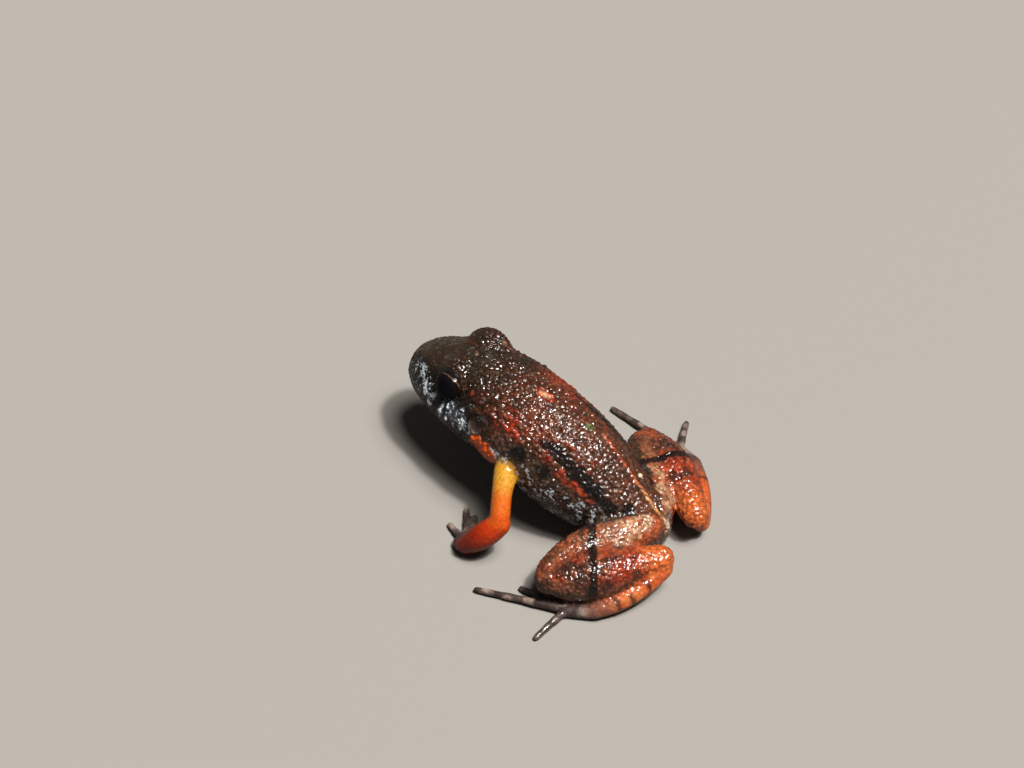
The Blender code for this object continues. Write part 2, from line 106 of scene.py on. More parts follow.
# Limbs: (forward, left, up, radius) from root to tip
LIMBS = {
    "upper_arm_left": [
        (1.3, 1.9, 6.6, 0.95), (0.9, 3.6, 6.2, 1.00), (0.3, 5.4, 5.2, 0.82), (-0.4, 6.9, 3.9, 0.82),
    ],
    "forearm_left": [
        (-0.5, 7.1, 3.6, 0.90), (0.1, 7.6, 2.9, 1.02), (1.0, 8.1, 1.9, 0.98), (1.8, 8.4, 1.1, 0.72),
    ],
    "upper_arm_right": [
        (1.5, -3.0, 6.4, 0.95), (1.0, -4.2, 5.8, 1.00), (-0.1, -5.4, 4.5, 0.84),
        (-1.0, -5.9, 3.3, 0.84),
    ],
    "forearm_right": [
        (-1.1, -6.0, 3.1, 0.90), (-0.4, -6.3, 2.6, 1.02), (0.7, -6.6, 1.8, 0.98),
        (1.7, -6.8, 1.1, 0.72),
    ],
    "thigh_left": [
        (-9.8, 0.9, 2.9, 1.50), (-8.7, 2.8, 2.8, 1.70), (-7.3, 4.8, 2.6, 1.75),
        (-6.4, 6.6, 2.4, 1.60), (-5.9, 8.1, 2.3, 1.30),
    ],
    "shank_left": [
        (-6.0, 8.9, 2.3, 1.15), (-7.2, 8.1, 2.3, 1.65), (-8.9, 6.6, 2.4, 2.00),
        (-10.9, 4.6, 2.6, 1.50), (-12.4, 3.1, 2.8, 1.05),
    ],
    "tarsus_left": [
        (-12.8, 3.4, 2.2, 0.80), (-12.2, 5.3, 1.7, 0.78), (-11.1, 7.2, 1.1, 0.74),
        (-9.9, 8.6, 0.75, 0.66),
    ],
    "thigh_right": [
        (-9.6, -1.2, 2.8, 1.45), (-8.3, -2.7, 2.7, 1.65), (-7.0, -4.1, 2.6, 1.70),
        (-6.0, -5.5, 2.4, 1.55), (-5.4, -6.8, 2.3, 1.30),
    ],
    "shank_right": [
        (-5.5, -7.4, 2.3, 1.15), (-6.8, -6.7, 2.3, 1.60), (-8.7, -5.4, 2.4, 1.85),
        (-10.8, -3.8, 2.5, 1.45), (-12.5, -2.3, 2.6, 1.05),
    ],
    "tarsus_right": [
        (-12.8, -2.7, 1.6, 0.78), (-12.0, -4.5, 1.1, 0.76), (-10.7, -6.6, 0.9, 0.74),
        (-9.4, -8.2, 0.72, 0.66),
    ],
}

# Hands and feet: root of the digits, their tips from the inner one outwards, and root radius
EXTREMITIES = {
    "hand_left": ((2.0, 7.9), [(1.9, 5.7), (3.0, 5.0), (4.0, 4.7), (4.3, 6.7)], 0.36),
    "hand_right": ((2.1, -6.9), [(2.7, -4.6), (4.0, -4.6), (5.1, -5.2), (4.4, -7.0)], 0.36),
    "foot_left": (
        (-7.9, 9.5), [(-7.4, 7.6), (-5.9, 8.3), (-3.8, 9.3), (-0.9, 11.2), (-7.2, 12.8)], 0.38
    ),
    "foot_right": (
        (-7.4, -9.3), [(-7.0, -7.4), (-5.5, -8.0), (-3.4, -9.0), (-0.4, -10.8), (-6.3, -12.5)], 0.38
    ),
}
PALM_SIZE = (1.15, 1.0, 0.55)
PALM_UP = 0.55
SOLES = {
    "foot_left": [(-9.6, 8.8, 0.55, 0.55), (-7.9, 9.5, 0.50, 0.55)],
    "foot_right": [(-9.2, -8.7, 0.55, 0.55), (-7.4, -9.3, 0.50, 0.55)],
}
DIGIT_UP = 0.33
DIGIT_TIP = 0.27

# Grain of the skin mesh, rings round the rough trunk and points in each ring
VOXEL = 0.105
TRUNK_RINGS = 170
RING_POINTS = 120

# How far beyond an eye's opening the skin hugs the ball, as shares of the opening: first while
# the lid takes shape, and at the end only along its rim
WIDE_SPREAD = 1.45
NARROW_SPREAD = 1.10

# Stands for any distance too long to matter
FAR = 9.0


# Curves

def smooth(keys, values, at):
    """Values on a smooth curve through (key, value) rows; keys rise."""
    keys = np.asarray(keys, float)
    values = np.asarray(values, float)
    slopes = np.gradient(values, keys, axis=0)
    i = int(np.clip(np.searchsorted(keys, at) - 1, 0, len(keys) - 2))
    width = keys[i + 1] - keys[i]
    s = min(max((at - keys[i]) / width, 0.0), 1.0)
    a = values[i]
    b = values[i + 1]
    return (
        a * (2 * s**3 - 3 * s**2 + 1)
        + slopes[i] * width * (s**3 - 2 * s**2 + s)
        + b * (3 * s**2 - 2 * s**3)
        + slopes[i + 1] * width * (s**3 - s**2)
    )


def distances_along(rows):
    """Distance of each row from the first one, along the line through all of them."""
    steps = np.linalg.norm(np.diff(rows, axis=0), axis=1)
    return np.concatenate([[0.0], np.cumsum(steps)])


def smooth_path(rows, count):
    rows = np.asarray(rows, float)
    keys = distances_along(rows[:, :3])
    return np.array([smooth(keys, rows, s) for s in np.linspace(0, keys[-1], count)])


def closed_loop(points, count):
    """Evenly spaced points on a smooth closed curve through the given ones."""
    points = np.asarray(points, float)
    ring = np.vstack([points[-3:], points, points[:3]])
    keys = distances_along(ring)
    start = keys[3]
    end = keys[3 + len(points)]
    fine = np.array([smooth(keys, ring, s) for s in np.linspace(start, end, 241)])
    lengths = distances_along(fine)
    wanted = np.arange(count) * lengths[-1] / count
    return np.column_stack([np.interp(wanted, lengths, fine[:, k]) for k in range(fine.shape[1])])


def spine(at):
    """Point of the spine on the floor plan, and the unit vectors forward and left there."""
    keys = [row[0] for row in SPINE]
    lefts = [row[1] for row in SPINE]
    left = float(smooth(keys, lefts, at))
    slope = float(smooth(keys, lefts, at + 0.05) - smooth(keys, lefts, at - 0.05)) / 0.1
    ahead = np.array([1.0, slope, 0.0]) / math.hypot(1.0, slope)
    return np.array([at, left, 0.0]), ahead, np.array([-ahead[1], ahead[0], 0.0])


def on_body(at, side, up):
    centre, ahead, left = spine(at)
    return centre + left * side + np.array([0.0, 0.0, up])


def section_sizes(at):
    keys = [row[0] for row in SECTIONS]
    return smooth(keys, [row[1:] for row in SECTIONS], at)


def section_loop(at):
    """Outline of head or trunk across the spine, as (side, up)."""
    back, w1, u1, w2, u2, w3, u3, belly = section_sizes(at)
    half = [(0.0, back), (w1, u1), (w2, u2), (w3, u3), (0.0, belly)]
    other = [(-w, u) for w, u in reversed(half[1:-1])]
    return closed_loop(half + other, RING_POINTS)


def section_ring(at):
    return [on_body(at, side, up) for side, up in section_loop(at)]


def half_width(at, up):
    """Distance from the spine's plane to the skin at a height."""
    loop = section_loop(at)
    side = loop[loop[:, 0] > 0.0]
    order = np.argsort(side[:, 1])
    return float(np.interp(up, side[order, 1], side[order, 0]))


def eye_centre(side, part="ball"):
    at, width, up = EYES[side][part]
    return on_body(at, side * width, up)


def lid_centre(side):
    return eye_centre(side, "lid")


def eye_axes(side):
    """Unit vectors of an eye: where it looks, and forward and upward along its face."""
    sideways, upward = np.radians(EYES[side]["outlook"])
    _, ahead, left = spine(EYES[side]["ball"][0])
    level = ahead * math.cos(sideways) + left * side * math.sin(sideways)
    outlook = level * math.cos(upward) + np.array([0.0, 0.0, math.sin(upward)])
    fore = ahead - outlook * (ahead @ outlook)
    fore /= np.linalg.norm(fore)
    over = np.cross(outlook, fore)
    if over[2] < 0:
        over = -over
    return outlook, fore, over


# Place of the frog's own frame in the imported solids
low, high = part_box("eye_left")
found = (np.array(low) + np.array(high)) / 2
drawn = eye_centre(1) * MM
SHIFT = found - np.array([drawn[1], -drawn[0], drawn[2]])


def to_world(points):
    points = np.asarray(points, float) * MM
    return np.column_stack([points[:, 1], -points[:, 0], points[:, 2]]) + SHIFT


def world_vector(direction):
    return Vector((direction[1], -direction[0], direction[2]))


# Rough pieces of the skin, in millimetres

def loft(rings, start_tip, end_tip):
    """Vertices and faces of a closed surface through rings, its ends drawn to tips."""
    count = len(rings[0])
    points = [point for ring in rings for point in ring] + [start_tip, end_tip]
    faces = []
    for i in range(len(rings) - 1):
        for k in range(count):
            a = i * count + k
            b = i * count + (k + 1) % count
            faces.append((a, b, b + count, a + count))
    last = (len(rings) - 1) * count
    for k in range(count):
        faces.append(((k + 1) % count, k, len(points) - 2))
        faces.append((last + k, last + (k + 1) % count, len(points) - 1))
    return np.array(points, float), faces


def tube(rows, count, sides, cap_rings=5):
    """Closed tube with round ends through rows of place and radius."""
    path = smooth_path(rows, count)
    points = path[:, :3]
    radii = path[:, 3]
    tangents = np.gradient(points, axis=0)
    tangents /= np.linalg.norm(tangents, axis=1)[:, None]
    angles = np.arange(sides) * 2 * math.pi / sides
    bends = [k * math.pi / 2 / (cap_rings + 1) for k in range(1, cap_rings + 1)]
    stations = [(0, -bend) for bend in reversed(bends)]
    stations += [(k, 0.0) for k in range(len(points))]
    stations += [(-1, bend) for bend in bends]
    rings = []
    for k, bend in stations:
        across = np.cross(tangents[k], (0.0, 0.0, 1.0))
        if np.linalg.norm(across) < 0.2:
            across = np.cross(tangents[k], (0.0, 1.0, 0.0))
        across /= np.linalg.norm(across)
        over = np.cross(across, tangents[k])
        centre = points[k] + tangents[k] * radii[k] * math.sin(bend)
        radius = radii[k] * math.cos(bend)
        rings.append([centre + radius * (math.cos(a) * across + math.sin(a) * over) for a in angles])
    return loft(rings, points[0] - tangents[0] * radii[0], points[-1] + tangents[-1] * radii[-1])


def ball(centre, size, segments=40, rings=28):
    bm = bmesh.new()
    bmesh.ops.create_uvsphere(bm, u_segments=segments, v_segments=rings, radius=1.0)
    points = np.array([vert.co[:] for vert in bm.verts]) * size + centre
    faces = [tuple(vert.index for vert in face.verts) for face in bm.faces]
    bm.free()
    return points, faces


def digit_rows(start, tip, root_radius):
    """Path of a finger or toe with swollen joints and a rounded, slightly wider tip."""
    start = np.array([start[0], start[1], DIGIT_UP + 0.12])
    end = np.array([tip[0], tip[1], DIGIT_TIP * 0.9])
    length = float(np.linalg.norm(end - start))
    rows = []
    for s in np.linspace(0.0, 1.0, 15):
        point = start + (end - start) * s
        point[2] += 0.10 * math.sin(math.pi * s) * min(length, 3.0) / 3.0
        radius = root_radius + (DIGIT_TIP - root_radius) * s
        knuckle = max(math.exp(-((s - q) / 0.06) ** 2) for q in (0.36, 0.64, 0.86))
        radius *= 0.90 + 0.12 * knuckle + 0.12 * math.exp(-((s - 1.0) / 0.07) ** 2)
        rows.append((*point, radius))
    return rows


def body_pieces():
    first_at = SECTIONS[0][0]
    last_at = SECTIONS[-1][0]
    rings = [section_ring(at) for at in np.linspace(first_at, last_at, TRUNK_RINGS)]
    last = section_ring(last_at)
    middle = on_body(last_at, 0.0, SNOUT_TIP_UP)
    ahead = spine(last_at)[1]
    for push, shrink in ((0.17, 0.91), (0.32, 0.77), (0.45, 0.58), (0.53, 0.38), (0.58, 0.18)):
        rings.append([middle + (point - middle) * shrink + ahead * push for point in last])
    tail = on_body(VENT, 0.0, VENT_UP)
    snout = on_body(SNOUT, 0.0, SNOUT_TIP_UP)
    pieces = [loft(rings, tail, snout)]
    for side in (1, -1):
        pieces.append(ball(lid_centre(side), LID_RADIUS))
        pieces.append(ball(eye_centre(side), EYE_RADIUS + RIND))
    return pieces


def limb_pieces():
    pieces = []
    paths = {}
    for name, rows in LIMBS.items():
        pieces.append(tube(rows, 40, 40))
        paths[name] = smooth_path(rows, 50)
    for name, (root, tips, radius) in EXTREMITIES.items():
        if name in SOLES:
            pieces.append(tube(SOLES[name], 16, 24))
            group = [smooth_path(SOLES[name], 12)]
        else:
            centre = np.array([*root, PALM_UP])
            pieces.append(ball(centre, PALM_SIZE))
            group = [np.array([(*centre, 0.75)])]
        for tip in tips:
            rows = digit_rows(root, tip, radius)
            pieces.append(tube(rows, 40, 16, 3))
            group.append(smooth_path(rows, 30))
        paths[name] = np.vstack(group)
    return pieces, paths


def mesh_from(name, points, faces):
    mesh = bpy.data.meshes.new(name)
    mesh.from_pydata([tuple(point) for point in points], [], faces)
    mesh.update()
    return mesh


def fused_skin(pieces):
    """One even mesh around all the pieces."""
    points = []
    faces = []
    start = 0
    for some, their_faces in pieces:
        points.append(some)
        faces += [tuple(start + k for k in face) for face in their_faces]
        start += len(some)
    thing = bpy.data.objects.new("rough", mesh_from("rough", np.vstack(points), faces))
    bpy.context.scene.collection.objects.link(thing)
    remesh = thing.modifiers.new("even", "REMESH")
    remesh.mode = "VOXEL"
    remesh.voxel_size = VOXEL
    graph = bpy.context.evaluated_depsgraph_get()
    mesh = bpy.data.meshes.new_from_object(thing.evaluated_get(graph))
    bpy.data.objects.remove(thing)
    coords = np.empty(len(mesh.vertices) * 3)
    mesh.vertices.foreach_get("co", coords)
    edges = np.empty(len(mesh.edges) * 2, dtype=np.int32)
    mesh.edges.foreach_get("vertices", edges)
    quads = [tuple(face.vertices) for face in mesh.polygons]
    bpy.data.meshes.remove(mesh)
    return coords.reshape(-1, 3), edges.reshape(-1, 2), quads


def relax(points, edges, weight, rounds):
    """Moves points towards the middle of their neighbours, each by its own weight."""
    count = np.bincount(edges.ravel(), minlength=len(points))[:, None]
    for _ in range(rounds):
        total = np.zeros_like(points)
        for k in range(3):
            total[:, k] = np.bincount(edges[:, 0], points[edges[:, 1], k], len(points))
            total[:, k] += np.bincount(edges[:, 1], points[edges[:, 0], k], len(points))
        points = points + (total / count - points) * weight[:, None]
    return points


def normals_of(points, quads):
    quads = np.asarray(quads)
    corners = [points[quads[:, k]] for k in range(4)]
    face = np.cross(corners[2] - corners[0], corners[3] - corners[1])
    total = np.zeros_like(points)
    for corner in range(4):
        for k in range(3):
            total[:, k] += np.bincount(quads[:, corner], face[:, k], len(points))
    return total / np.maximum(np.linalg.norm(total, axis=1), 1e-12)[:, None]


# Steps, bumps and noise

def step(low_edge, high_edge, value):
    s = np.clip((value - low_edge) / (high_edge - low_edge), 0.0, 1.0)
    return s * s * (3 - 2 * s)


def bell(value, width):
    return np.exp(-(value / width) ** 2)


def lattice(x, y, z, seed):
    h = (x * 374761393 + y * 668265263 + z * 1440662683 + seed * 974634777) & 0xFFFFFFFF
    h = ((h ^ (h >> 13)) * 1274126177) & 0xFFFFFFFF
    return ((h ^ (h >> 16)) & 0xFFFF) / 65535.0


def noise(points, size, seed):
    """Smooth noise from 0 to 1 with spots of about the given size."""
    q = points / size
    base = np.floor(q).astype(np.int64)
    f = q - base
    f = f * f * (3 - 2 * f)
    total = np.zeros(len(points))
    for corner in np.ndindex(2, 2, 2):
        x, y, z = np.where(corner, f, 1 - f).T
        total += x * y * z * lattice(*(base + corner).T, seed)
    return total


def cloud(points, size, seed):
    return (
        noise(points, size, seed) * 0.55
        + noise(points, size / 2.1, seed + 1) * 0.3
        + noise(points, size / 4.3, seed + 2) * 0.15
    )


def mix(colour, other, amount):
    return colour + (np.asarray(other) - colour) * amount[:, None]


# Body coordinates of points: place along the spine, distance to its left, height

def body_places(points):
    table = np.arange(-12.5, 14.0, 0.05)
    rows = [spine(at) for at in table]
    lefts = np.array([row[0][1] for row in rows])
    ahead = np.array([row[1][:2] for row in rows])
    at = points[:, 0].copy()
    for _ in range(4):
        ax = np.interp(at, table, ahead[:, 0])
        ay = np.interp(at, table, ahead[:, 1])
        at = at + (points[:, 0] - at) * ax + (points[:, 1] - np.interp(at, table, lefts)) * ay
    side = -(points[:, 0] - at) * ay + (points[:, 1] - np.interp(at, table, lefts)) * ax
    return at, side, points[:, 2]


def sizes_along(at):
    table = np.arange(SECTIONS[0][0], SECTIONS[-1][0] + 0.05, 0.1)
    rows = np.array([section_sizes(place) for place in table])
    return [np.interp(at, table, rows[:, k]) for k in range(rows.shape[1])]


def path_distance(points, path):
    """Distance to the nearest ball of a limb's path, and its share of the way along."""
    best = np.full(len(points), 1e9)
    share = np.zeros(len(points))
    for k, (x, y, z, radius) in enumerate(path):
        gap = np.sqrt(((points - (x, y, z)) ** 2).sum(axis=1)) - radius
        near = gap < best
        best[near] = gap[near]
        share[near] = k / max(len(path) - 1, 1)
    return best, share


def line_distance(flat, knots):
    """Distance in a flat map from a line through knots, and the share of the way along."""
    knots = np.asarray(knots, float)
    steps = np.linalg.norm(np.diff(knots, axis=0), axis=1)
    total = steps.sum()
    best = np.full(len(flat), 1e9)
    share = np.zeros(len(flat))
    start = 0.0
    for a, b, length in zip(knots, knots[1:], steps):
        s = np.clip(((flat - a) @ (b - a)) / length**2, 0.0, 1.0)
        gap = np.linalg.norm(flat - (a + s[:, None] * (b - a)), axis=1)
        near = gap < best
        best[near] = gap[near]
        share[near] = (start + s[near] * length) / total
        start += length
    return best, share


def open_eyes(points, spread):
    """Sinks the skin behind each eyeball inside its opening and hugs it round the rim.

    Also gives each point's angle from the nearest eye's outlook as a share of the opening's,
    and how far it belongs to the top of a lid.
    """
    points = points.copy()
    rim_gap = np.full(len(points), FAR)
    lid_top = np.zeros(len(points))
    for way in (1, -1):
        centre = eye_centre(way)
        outlook, fore, over = eye_axes(way)
        reach = points - centre
        radius = np.linalg.norm(reach, axis=1)
        polar = np.arccos(np.clip(reach @ outlook / np.maximum(radius, 1e-9), -1.0, 1.0))
        turn = np.arctan2(reach @ over, reach @ fore)
        lower = np.maximum(-np.sin(turn), 0.0)
        opening = math.radians(EYES[way]["opening"]) * (1.0 - 0.25 * lower)
        measure = polar / opening
        measure[radius > EYE_RADIUS + 1.5] = FAR
        inside = step(1.03, 0.95, measure)
        reach_of = step(EYE_RADIUS + 1.5, EYE_RADIUS + 0.85, radius)
        held = step(spread, 1.0, measure) * reach_of
        rim = EYE_RADIUS + RIND - 0.04 + 0.05 * bell(measure - 1.12, 0.08)
        lowered = np.where(radius > rim, rim + (radius - rim) * (1 - held), radius)
        new = lowered * (1 - inside * reach_of) + (EYE_RADIUS - 0.35) * inside * reach_of
        near = measure < spread
        points[near] = centre + reach[near] * (new / np.maximum(radius, 1e-6))[near, None]
        rim_gap = np.minimum(rim_gap, np.where(radius < EYE_RADIUS + 0.7, measure, FAR))
        above = points - lid_centre(way)
        beyond = np.linalg.norm(above, axis=1)
        lid_top = np.maximum(lid_top, step(2.45, 2.05, beyond) * step(0.2, 0.9, above[:, 2]))
    return points, rim_gap, lid_top


# The skin

def ball_gap(points, centre, radius=0.0):
    """Distance of points from the surface of a ball, or from a place."""
    return np.linalg.norm(points - centre, axis=1) - radius


def trunk_gap(point):
    """Distance of a point from the rough trunk, along the trunk's normal there."""
    place, direction = body_tree.find_nearest(Vector(point))[:2]
    return (Vector(point) - place).dot(direction)


pieces, limb_paths = limb_pieces()
body = body_pieces()
body_tree = BVHTree.FromPolygons([tuple(point) for point in body[0][0]], body[0][1])
points, edges, quads = fused_skin(body + pieces)
points = relax(points, edges, np.full(len(points), 0.5), 3)
points = open_eyes(points, WIDE_SPREAD)[0]
points, edges, quads = fused_skin([(points, quads)])
head_part = step(2.0, 3.0, points[:, 0]) * step(4.0, 4.6, points[:, 2])
points = relax(points, edges, 0.4 + 0.1 * head_part, 3)
rim_gap = open_eyes(points, WIDE_SPREAD)[1]
points = relax(points, edges, 0.5 * head_part * step(1.02, 1.2, rim_gap), 8)
eye_gap = np.minimum(*[ball_gap(points, eye_centre(way), EYE_RADIUS) for way in (1, -1)])
round_eyes = step(1.9, 1.3, eye_gap) * step(1.03, 1.15, rim_gap) * head_part
points = relax(points, edges, 0.5 * round_eyes, 36)

# Distances of the skin's points from the rough pieces under it
gaps = {}
shares = {}
for name, path in limb_paths.items():
    gaps[name], shares[name] = path_distance(points, path)
outwards = 1.0 if trunk_gap((0.0, 0.0, 50.0)) > 0 else -1.0
gaps["body"] = np.array([trunk_gap(point) for point in points]) * outwards
for way in (1, -1):
    gaps["body"] = np.minimum(gaps["body"], ball_gap(points, lid_centre(way), LID_RADIUS))

# Soften the crotches where limbs leave the body or bend
JOINS = [
    ("upper_arm", "body"), ("upper_arm", "forearm"), ("thigh", "body"), ("thigh", "shank"),
    ("shank", "tarsus"), ("forearm", "hand"), ("tarsus", "foot"),
]
for upper, lower in JOINS:
    for way in ("left", "right"):
        from_upper = np.abs(gaps[f"{upper}_{way}"])
        from_lower = np.abs(gaps["body" if lower == "body" else f"{lower}_{way}"])
        crotch = bell(np.maximum(from_upper, from_lower), 0.35)
        points = relax(points, edges, 0.6 * crotch, 10)
for way in (1, -1):
    from_lid = np.abs(ball_gap(points, lid_centre(way), LID_RADIUS))
    from_trunk = np.full(len(points), FAR)
    close = np.flatnonzero(from_lid < 1.0)
    from_trunk[close] = [abs(trunk_gap(points[k])) for k in close]
    points = relax(points, edges, 0.6 * bell(np.maximum(from_lid, from_trunk), 0.30), 14)

# Where each point lies: along the spine, to its side, above the floor, and how far up from the
# widest line (0) to the top of the back (1)
at, side, up = body_places(points)
back, _, _, _, widest, _, _, _ = sizes_along(at)
rise = (up - widest) / (back - widest)
away = np.abs(side)
side_map = np.column_stack([at, up])
back_map = np.column_stack([at, side])
folded_map = np.column_stack([at, away])

names = list(gaps)
nearness = np.array([bell(np.maximum(gaps[name], 0.0), 0.22) for name in names]) + 1e-9
nearness /= nearness.sum(axis=0)
part = dict(zip(names, nearness))
on_head = part["body"] * step(2.2, 4.0, at)


def share_of(*kinds):
    """How much each point belongs to some kinds of parts, left and right."""
    return sum(part[name] for name in names if name.rsplit("_", 1)[0] in kinds)


legs = share_of("thigh", "shank")
arms = share_of("upper_arm", "forearm")
ends = share_of("hand", "foot")


# Fine forms of the skin, pushed out or in along its normals

push = np.zeros(len(points))
normal = normals_of(points, quads)
facing_up = normal[:, 2]

# Line of the mouth, with the upper lip a little over the lower one
lip = widest - LIP_DROP
drop = up - lip
around = part["body"] * step(MOUTH_CORNER - 0.25, MOUTH_CORNER + 0.25, at)
around *= step(0.15, 0.45, np.hypot(normal[:, 0], normal[:, 1]))
groove = 0.28 * bell(drop, 0.11) + 0.02 * bell(drop + 0.25, 0.15)
push += around * (0.11 * bell(drop - 0.27, 0.18) - groove)

# Nostrils, each a pit with a low rim
for way in (1, -1):
    gap = ball_gap(points, on_body(NOSTRIL[0], way * NOSTRIL[1], NOSTRIL[2]))
    push += -0.26 * bell(gap, 0.17) + 0.06 * bell(gap - 0.30, 0.10)

# Ears, each a smooth disc in a low ring, under a fold that runs to the shoulder
ear_gap = np.full(len(points), FAR)
for way in (1, -1):
    place = on_body(EAR[0], way * half_width(*EAR), EAR[1])
    ear_gap = np.minimum(ear_gap, ball_gap(points, place))
disc = step(EAR_RADIUS + 0.08, EAR_RADIUS - 0.14, ear_gap)
ring_gap = ear_gap - EAR_RADIUS
push += 0.14 * bell(ring_gap, 0.12) - 0.05 * disc - 0.08 * bell(ring_gap - 0.26, 0.12)
fold_gap, _ = line_distance(
    side_map, [(5.6, 9.35), (4.6, 9.25), (3.6, 9.2), (2.75, 8.9), (2.45, 8.2), (2.3, 7.4)]
)
push += 0.12 * part["body"] * bell(fold_gap, 0.16) * step(1.8, 2.6, away)

# Gland behind the corner of the mouth
gland_gap, _ = line_distance(side_map, [(3.0, 7.3), (2.45, 6.95), (1.6, 6.65)])
gland_gap = gland_gap + 0.5 * (noise(points, 0.45, 171) - 0.5)
gland = part["body"] * step(0.64, 0.50, gland_gap) * step(3.0, 3.6, away)
push += gland * (0.05 + 0.13 * noise(points, 0.24, 173))

# Ridge between eye and nostril, the low crest along the rump and the knob at its end
ridge_gap, _ = line_distance(folded_map, [(8.8, 2.1), (10.4, 1.65), (11.9, 1.15)])
push += 0.06 * on_head * bell(ridge_gap, 0.22) * step(0.45, 0.7, rise)
stripe_gap, _ = line_distance(back_map, [
    (-4.5, -0.95), (-5.4, -0.70), (-6.9, -0.39), (-8.2, -0.17), (-9.5, -0.05), (-10.5, 0.22),
    (-11.3, 0.15),
])
on_stripe = part["body"] * step(-4.4, -5.2, at) * step(0.6, 0.8, rise)
push += 0.10 * on_stripe * bell(stripe_gap, 0.16)
knob = part["body"] * bell(np.hypot(at + 11.1, side - 0.05), 0.34) * step(0.1, 0.5, rise)
push += 0.22 * knob

# Warts: named rows, then loose ones over back and legs
wart = np.zeros(len(points))
red = np.zeros(len(points))
tree = KDTree(len(points))
for k, point in enumerate(points):
    tree.insert(point, k)
tree.balance()


def surface_point(place, sideways):
    """Point of the back at a place along the spine and a distance to the left."""
    start = on_body(place, sideways, 14.0)
    hit = body_tree.ray_cast(Vector(start), Vector((0, 0, -1)))[0]
    return None if hit is None else np.array(hit)


def add_wart(centre, radius, height, redness):
    for _, k, gap in tree.find_range(Vector(centre), radius):
        shape = (1 - (gap / radius) ** 2) ** 2
        if height * shape > wart[k]:
            wart[k] = height * shape
        red[k] = max(red[k], redness * shape**0.5)


# Each row's knots (along the spine, to its side), and its warts' spacing, radius, height and
# redness
ROWS = [
    ([(2.6, 3.15), (1.6, 3.25), (0.5, 3.35), (-0.7, 3.45)], 0.42, 0.34, 0.16, 1.0),
    ([(3.0, 2.3), (1.2, 2.15), (-0.1, 1.95), (-1.4, 2.0), (-2.6, 1.9), (-4.2, 1.7)],
     0.62, 0.30, 0.15, 0.9),
    ([(3.4, 1.3), (1.5, 1.2), (-1.0, 1.15), (-3.5, 1.1), (-6.0, 0.9)], 0.75, 0.27, 0.12, 0.6),
    ([(4.4, 3.1), (3.2, 2.9), (1.0, 2.75), (-1.0, 2.8)], 0.66, 0.26, 0.12, 0.5),
    ([(-1.4, 3.2), (-2.85, 3.3), (-4.3, 3.3), (-5.3, 3.25), (-6.2, 3.1)], 0.40, 0.30, 0.13, 0.8),
]
for knots, spacing, radius, height, redness in ROWS:
    knots = np.array(knots)
    lengths = distances_along(knots)
    for way in (1, -1):
        for s in np.arange(0.0, lengths[-1], spacing):
            s = s + rng.uniform(-0.12, 0.12)
            place = np.interp(s, lengths, knots[:, 0])
            sideways = np.interp(s, lengths, knots[:, 1]) + rng.uniform(-0.08, 0.08)
            centre = surface_point(place, way * sideways)
            if centre is not None:
                grown = rng.uniform(0.8, 1.2)
                add_wart(centre, radius * grown, height * grown, redness * rng.uniform(0.6, 1.0))

rough_skin = part["body"] * step(-0.15, 0.35, rise) * (1 - 0.75 * step(6.5, 9.0, at)) * (1 - disc)
rough_skin = np.clip(rough_skin + 0.8 * legs * step(-0.6, 0.2, facing_up), 0.0, 1.0)
order = rng.permutation(len(points))
taken = np.zeros(len(points), bool)
for k in order:
    if taken[k] or rng.uniform() > rough_skin[k]:
        continue
    radius = rng.uniform(0.15, 0.27)
    for _, other, gap in tree.find_range(Vector(points[k]), radius * 1.35):
        taken[other] = True
    add_wart(points[k], radius, radius * 0.36 * (0.4 + 0.6 * rough_skin[k]), 0.0)
push += wart

points = points + normal * push[:, None]

# Eye openings, with a sharper rim
points = relax(points, edges, 0.5 * disc, 5)
points, rim_gap, lid_top = open_eyes(points, NARROW_SPREAD)

# Flat soles where the frog rests on the floor
points[:, 2] = np.maximum(points[:, 2], -SHIFT[2] / MM)


# Colours of the skin, as they would be dry in strong light

DARK = (0.034, 0.016, 0.009)
UMBER = (0.110, 0.034, 0.013)
TAUPE = (0.185, 0.075, 0.036)
BLACK = (0.006, 0.005, 0.005)
DULL_RED = (0.200, 0.026, 0.010)
RED = (0.350, 0.032, 0.010)
CLEAR_RED = (0.50, 0.060, 0.018)
RUSSET = (0.190, 0.050, 0.022)
SLATE = (0.014, 0.012, 0.012)
BLUE_GREY = (0.140, 0.180, 0.230)
SAND = (0.500, 0.300, 0.170)
CREAM = (0.300, 0.240, 0.200)
FLANK_BROWN = (0.066, 0.031, 0.020)
FLANK_GREY = (0.072, 0.050, 0.036)
SPOT_CREAM = (0.72, 0.36, 0.17)
SPOT_GREEN = (0.10, 0.13, 0.05)
STRIPE_RED = (0.50, 0.085, 0.025)
STRIPE_TAIL = (0.66, 0.27, 0.10)
DOT_CREAM = (0.80, 0.68, 0.46)
KNOB_TAN = (0.62, 0.44, 0.30)
KNOB_CREAM = (0.72, 0.58, 0.42)
KNOB_GREY = (0.17, 0.15, 0.14)

CROWN_BROWN = (0.048, 0.026, 0.014)
CROWN_RUST = (0.120, 0.040, 0.016)
SNOUT_TAN = (0.190, 0.098, 0.056)
CHEEK_BLACK = (0.016, 0.012, 0.011)
JAW_BROWN = (0.036, 0.022, 0.016)
JAW_GREY = (0.13, 0.10, 0.085)
MOUTH_GROOVE_SHADE = (0.010, 0.007, 0.007)
EAR_BROWN = (0.060, 0.036, 0.028)
EAR_RIM_GREY = (0.34, 0.32, 0.31)
LID_RED = (0.115, 0.018, 0.012)
LID_COPPER = (0.42, 0.17, 0.07)
NAPE_BROWN = (0.085, 0.056, 0.034)
GLAND_ORANGE = (1.0, 0.130, 0.010)

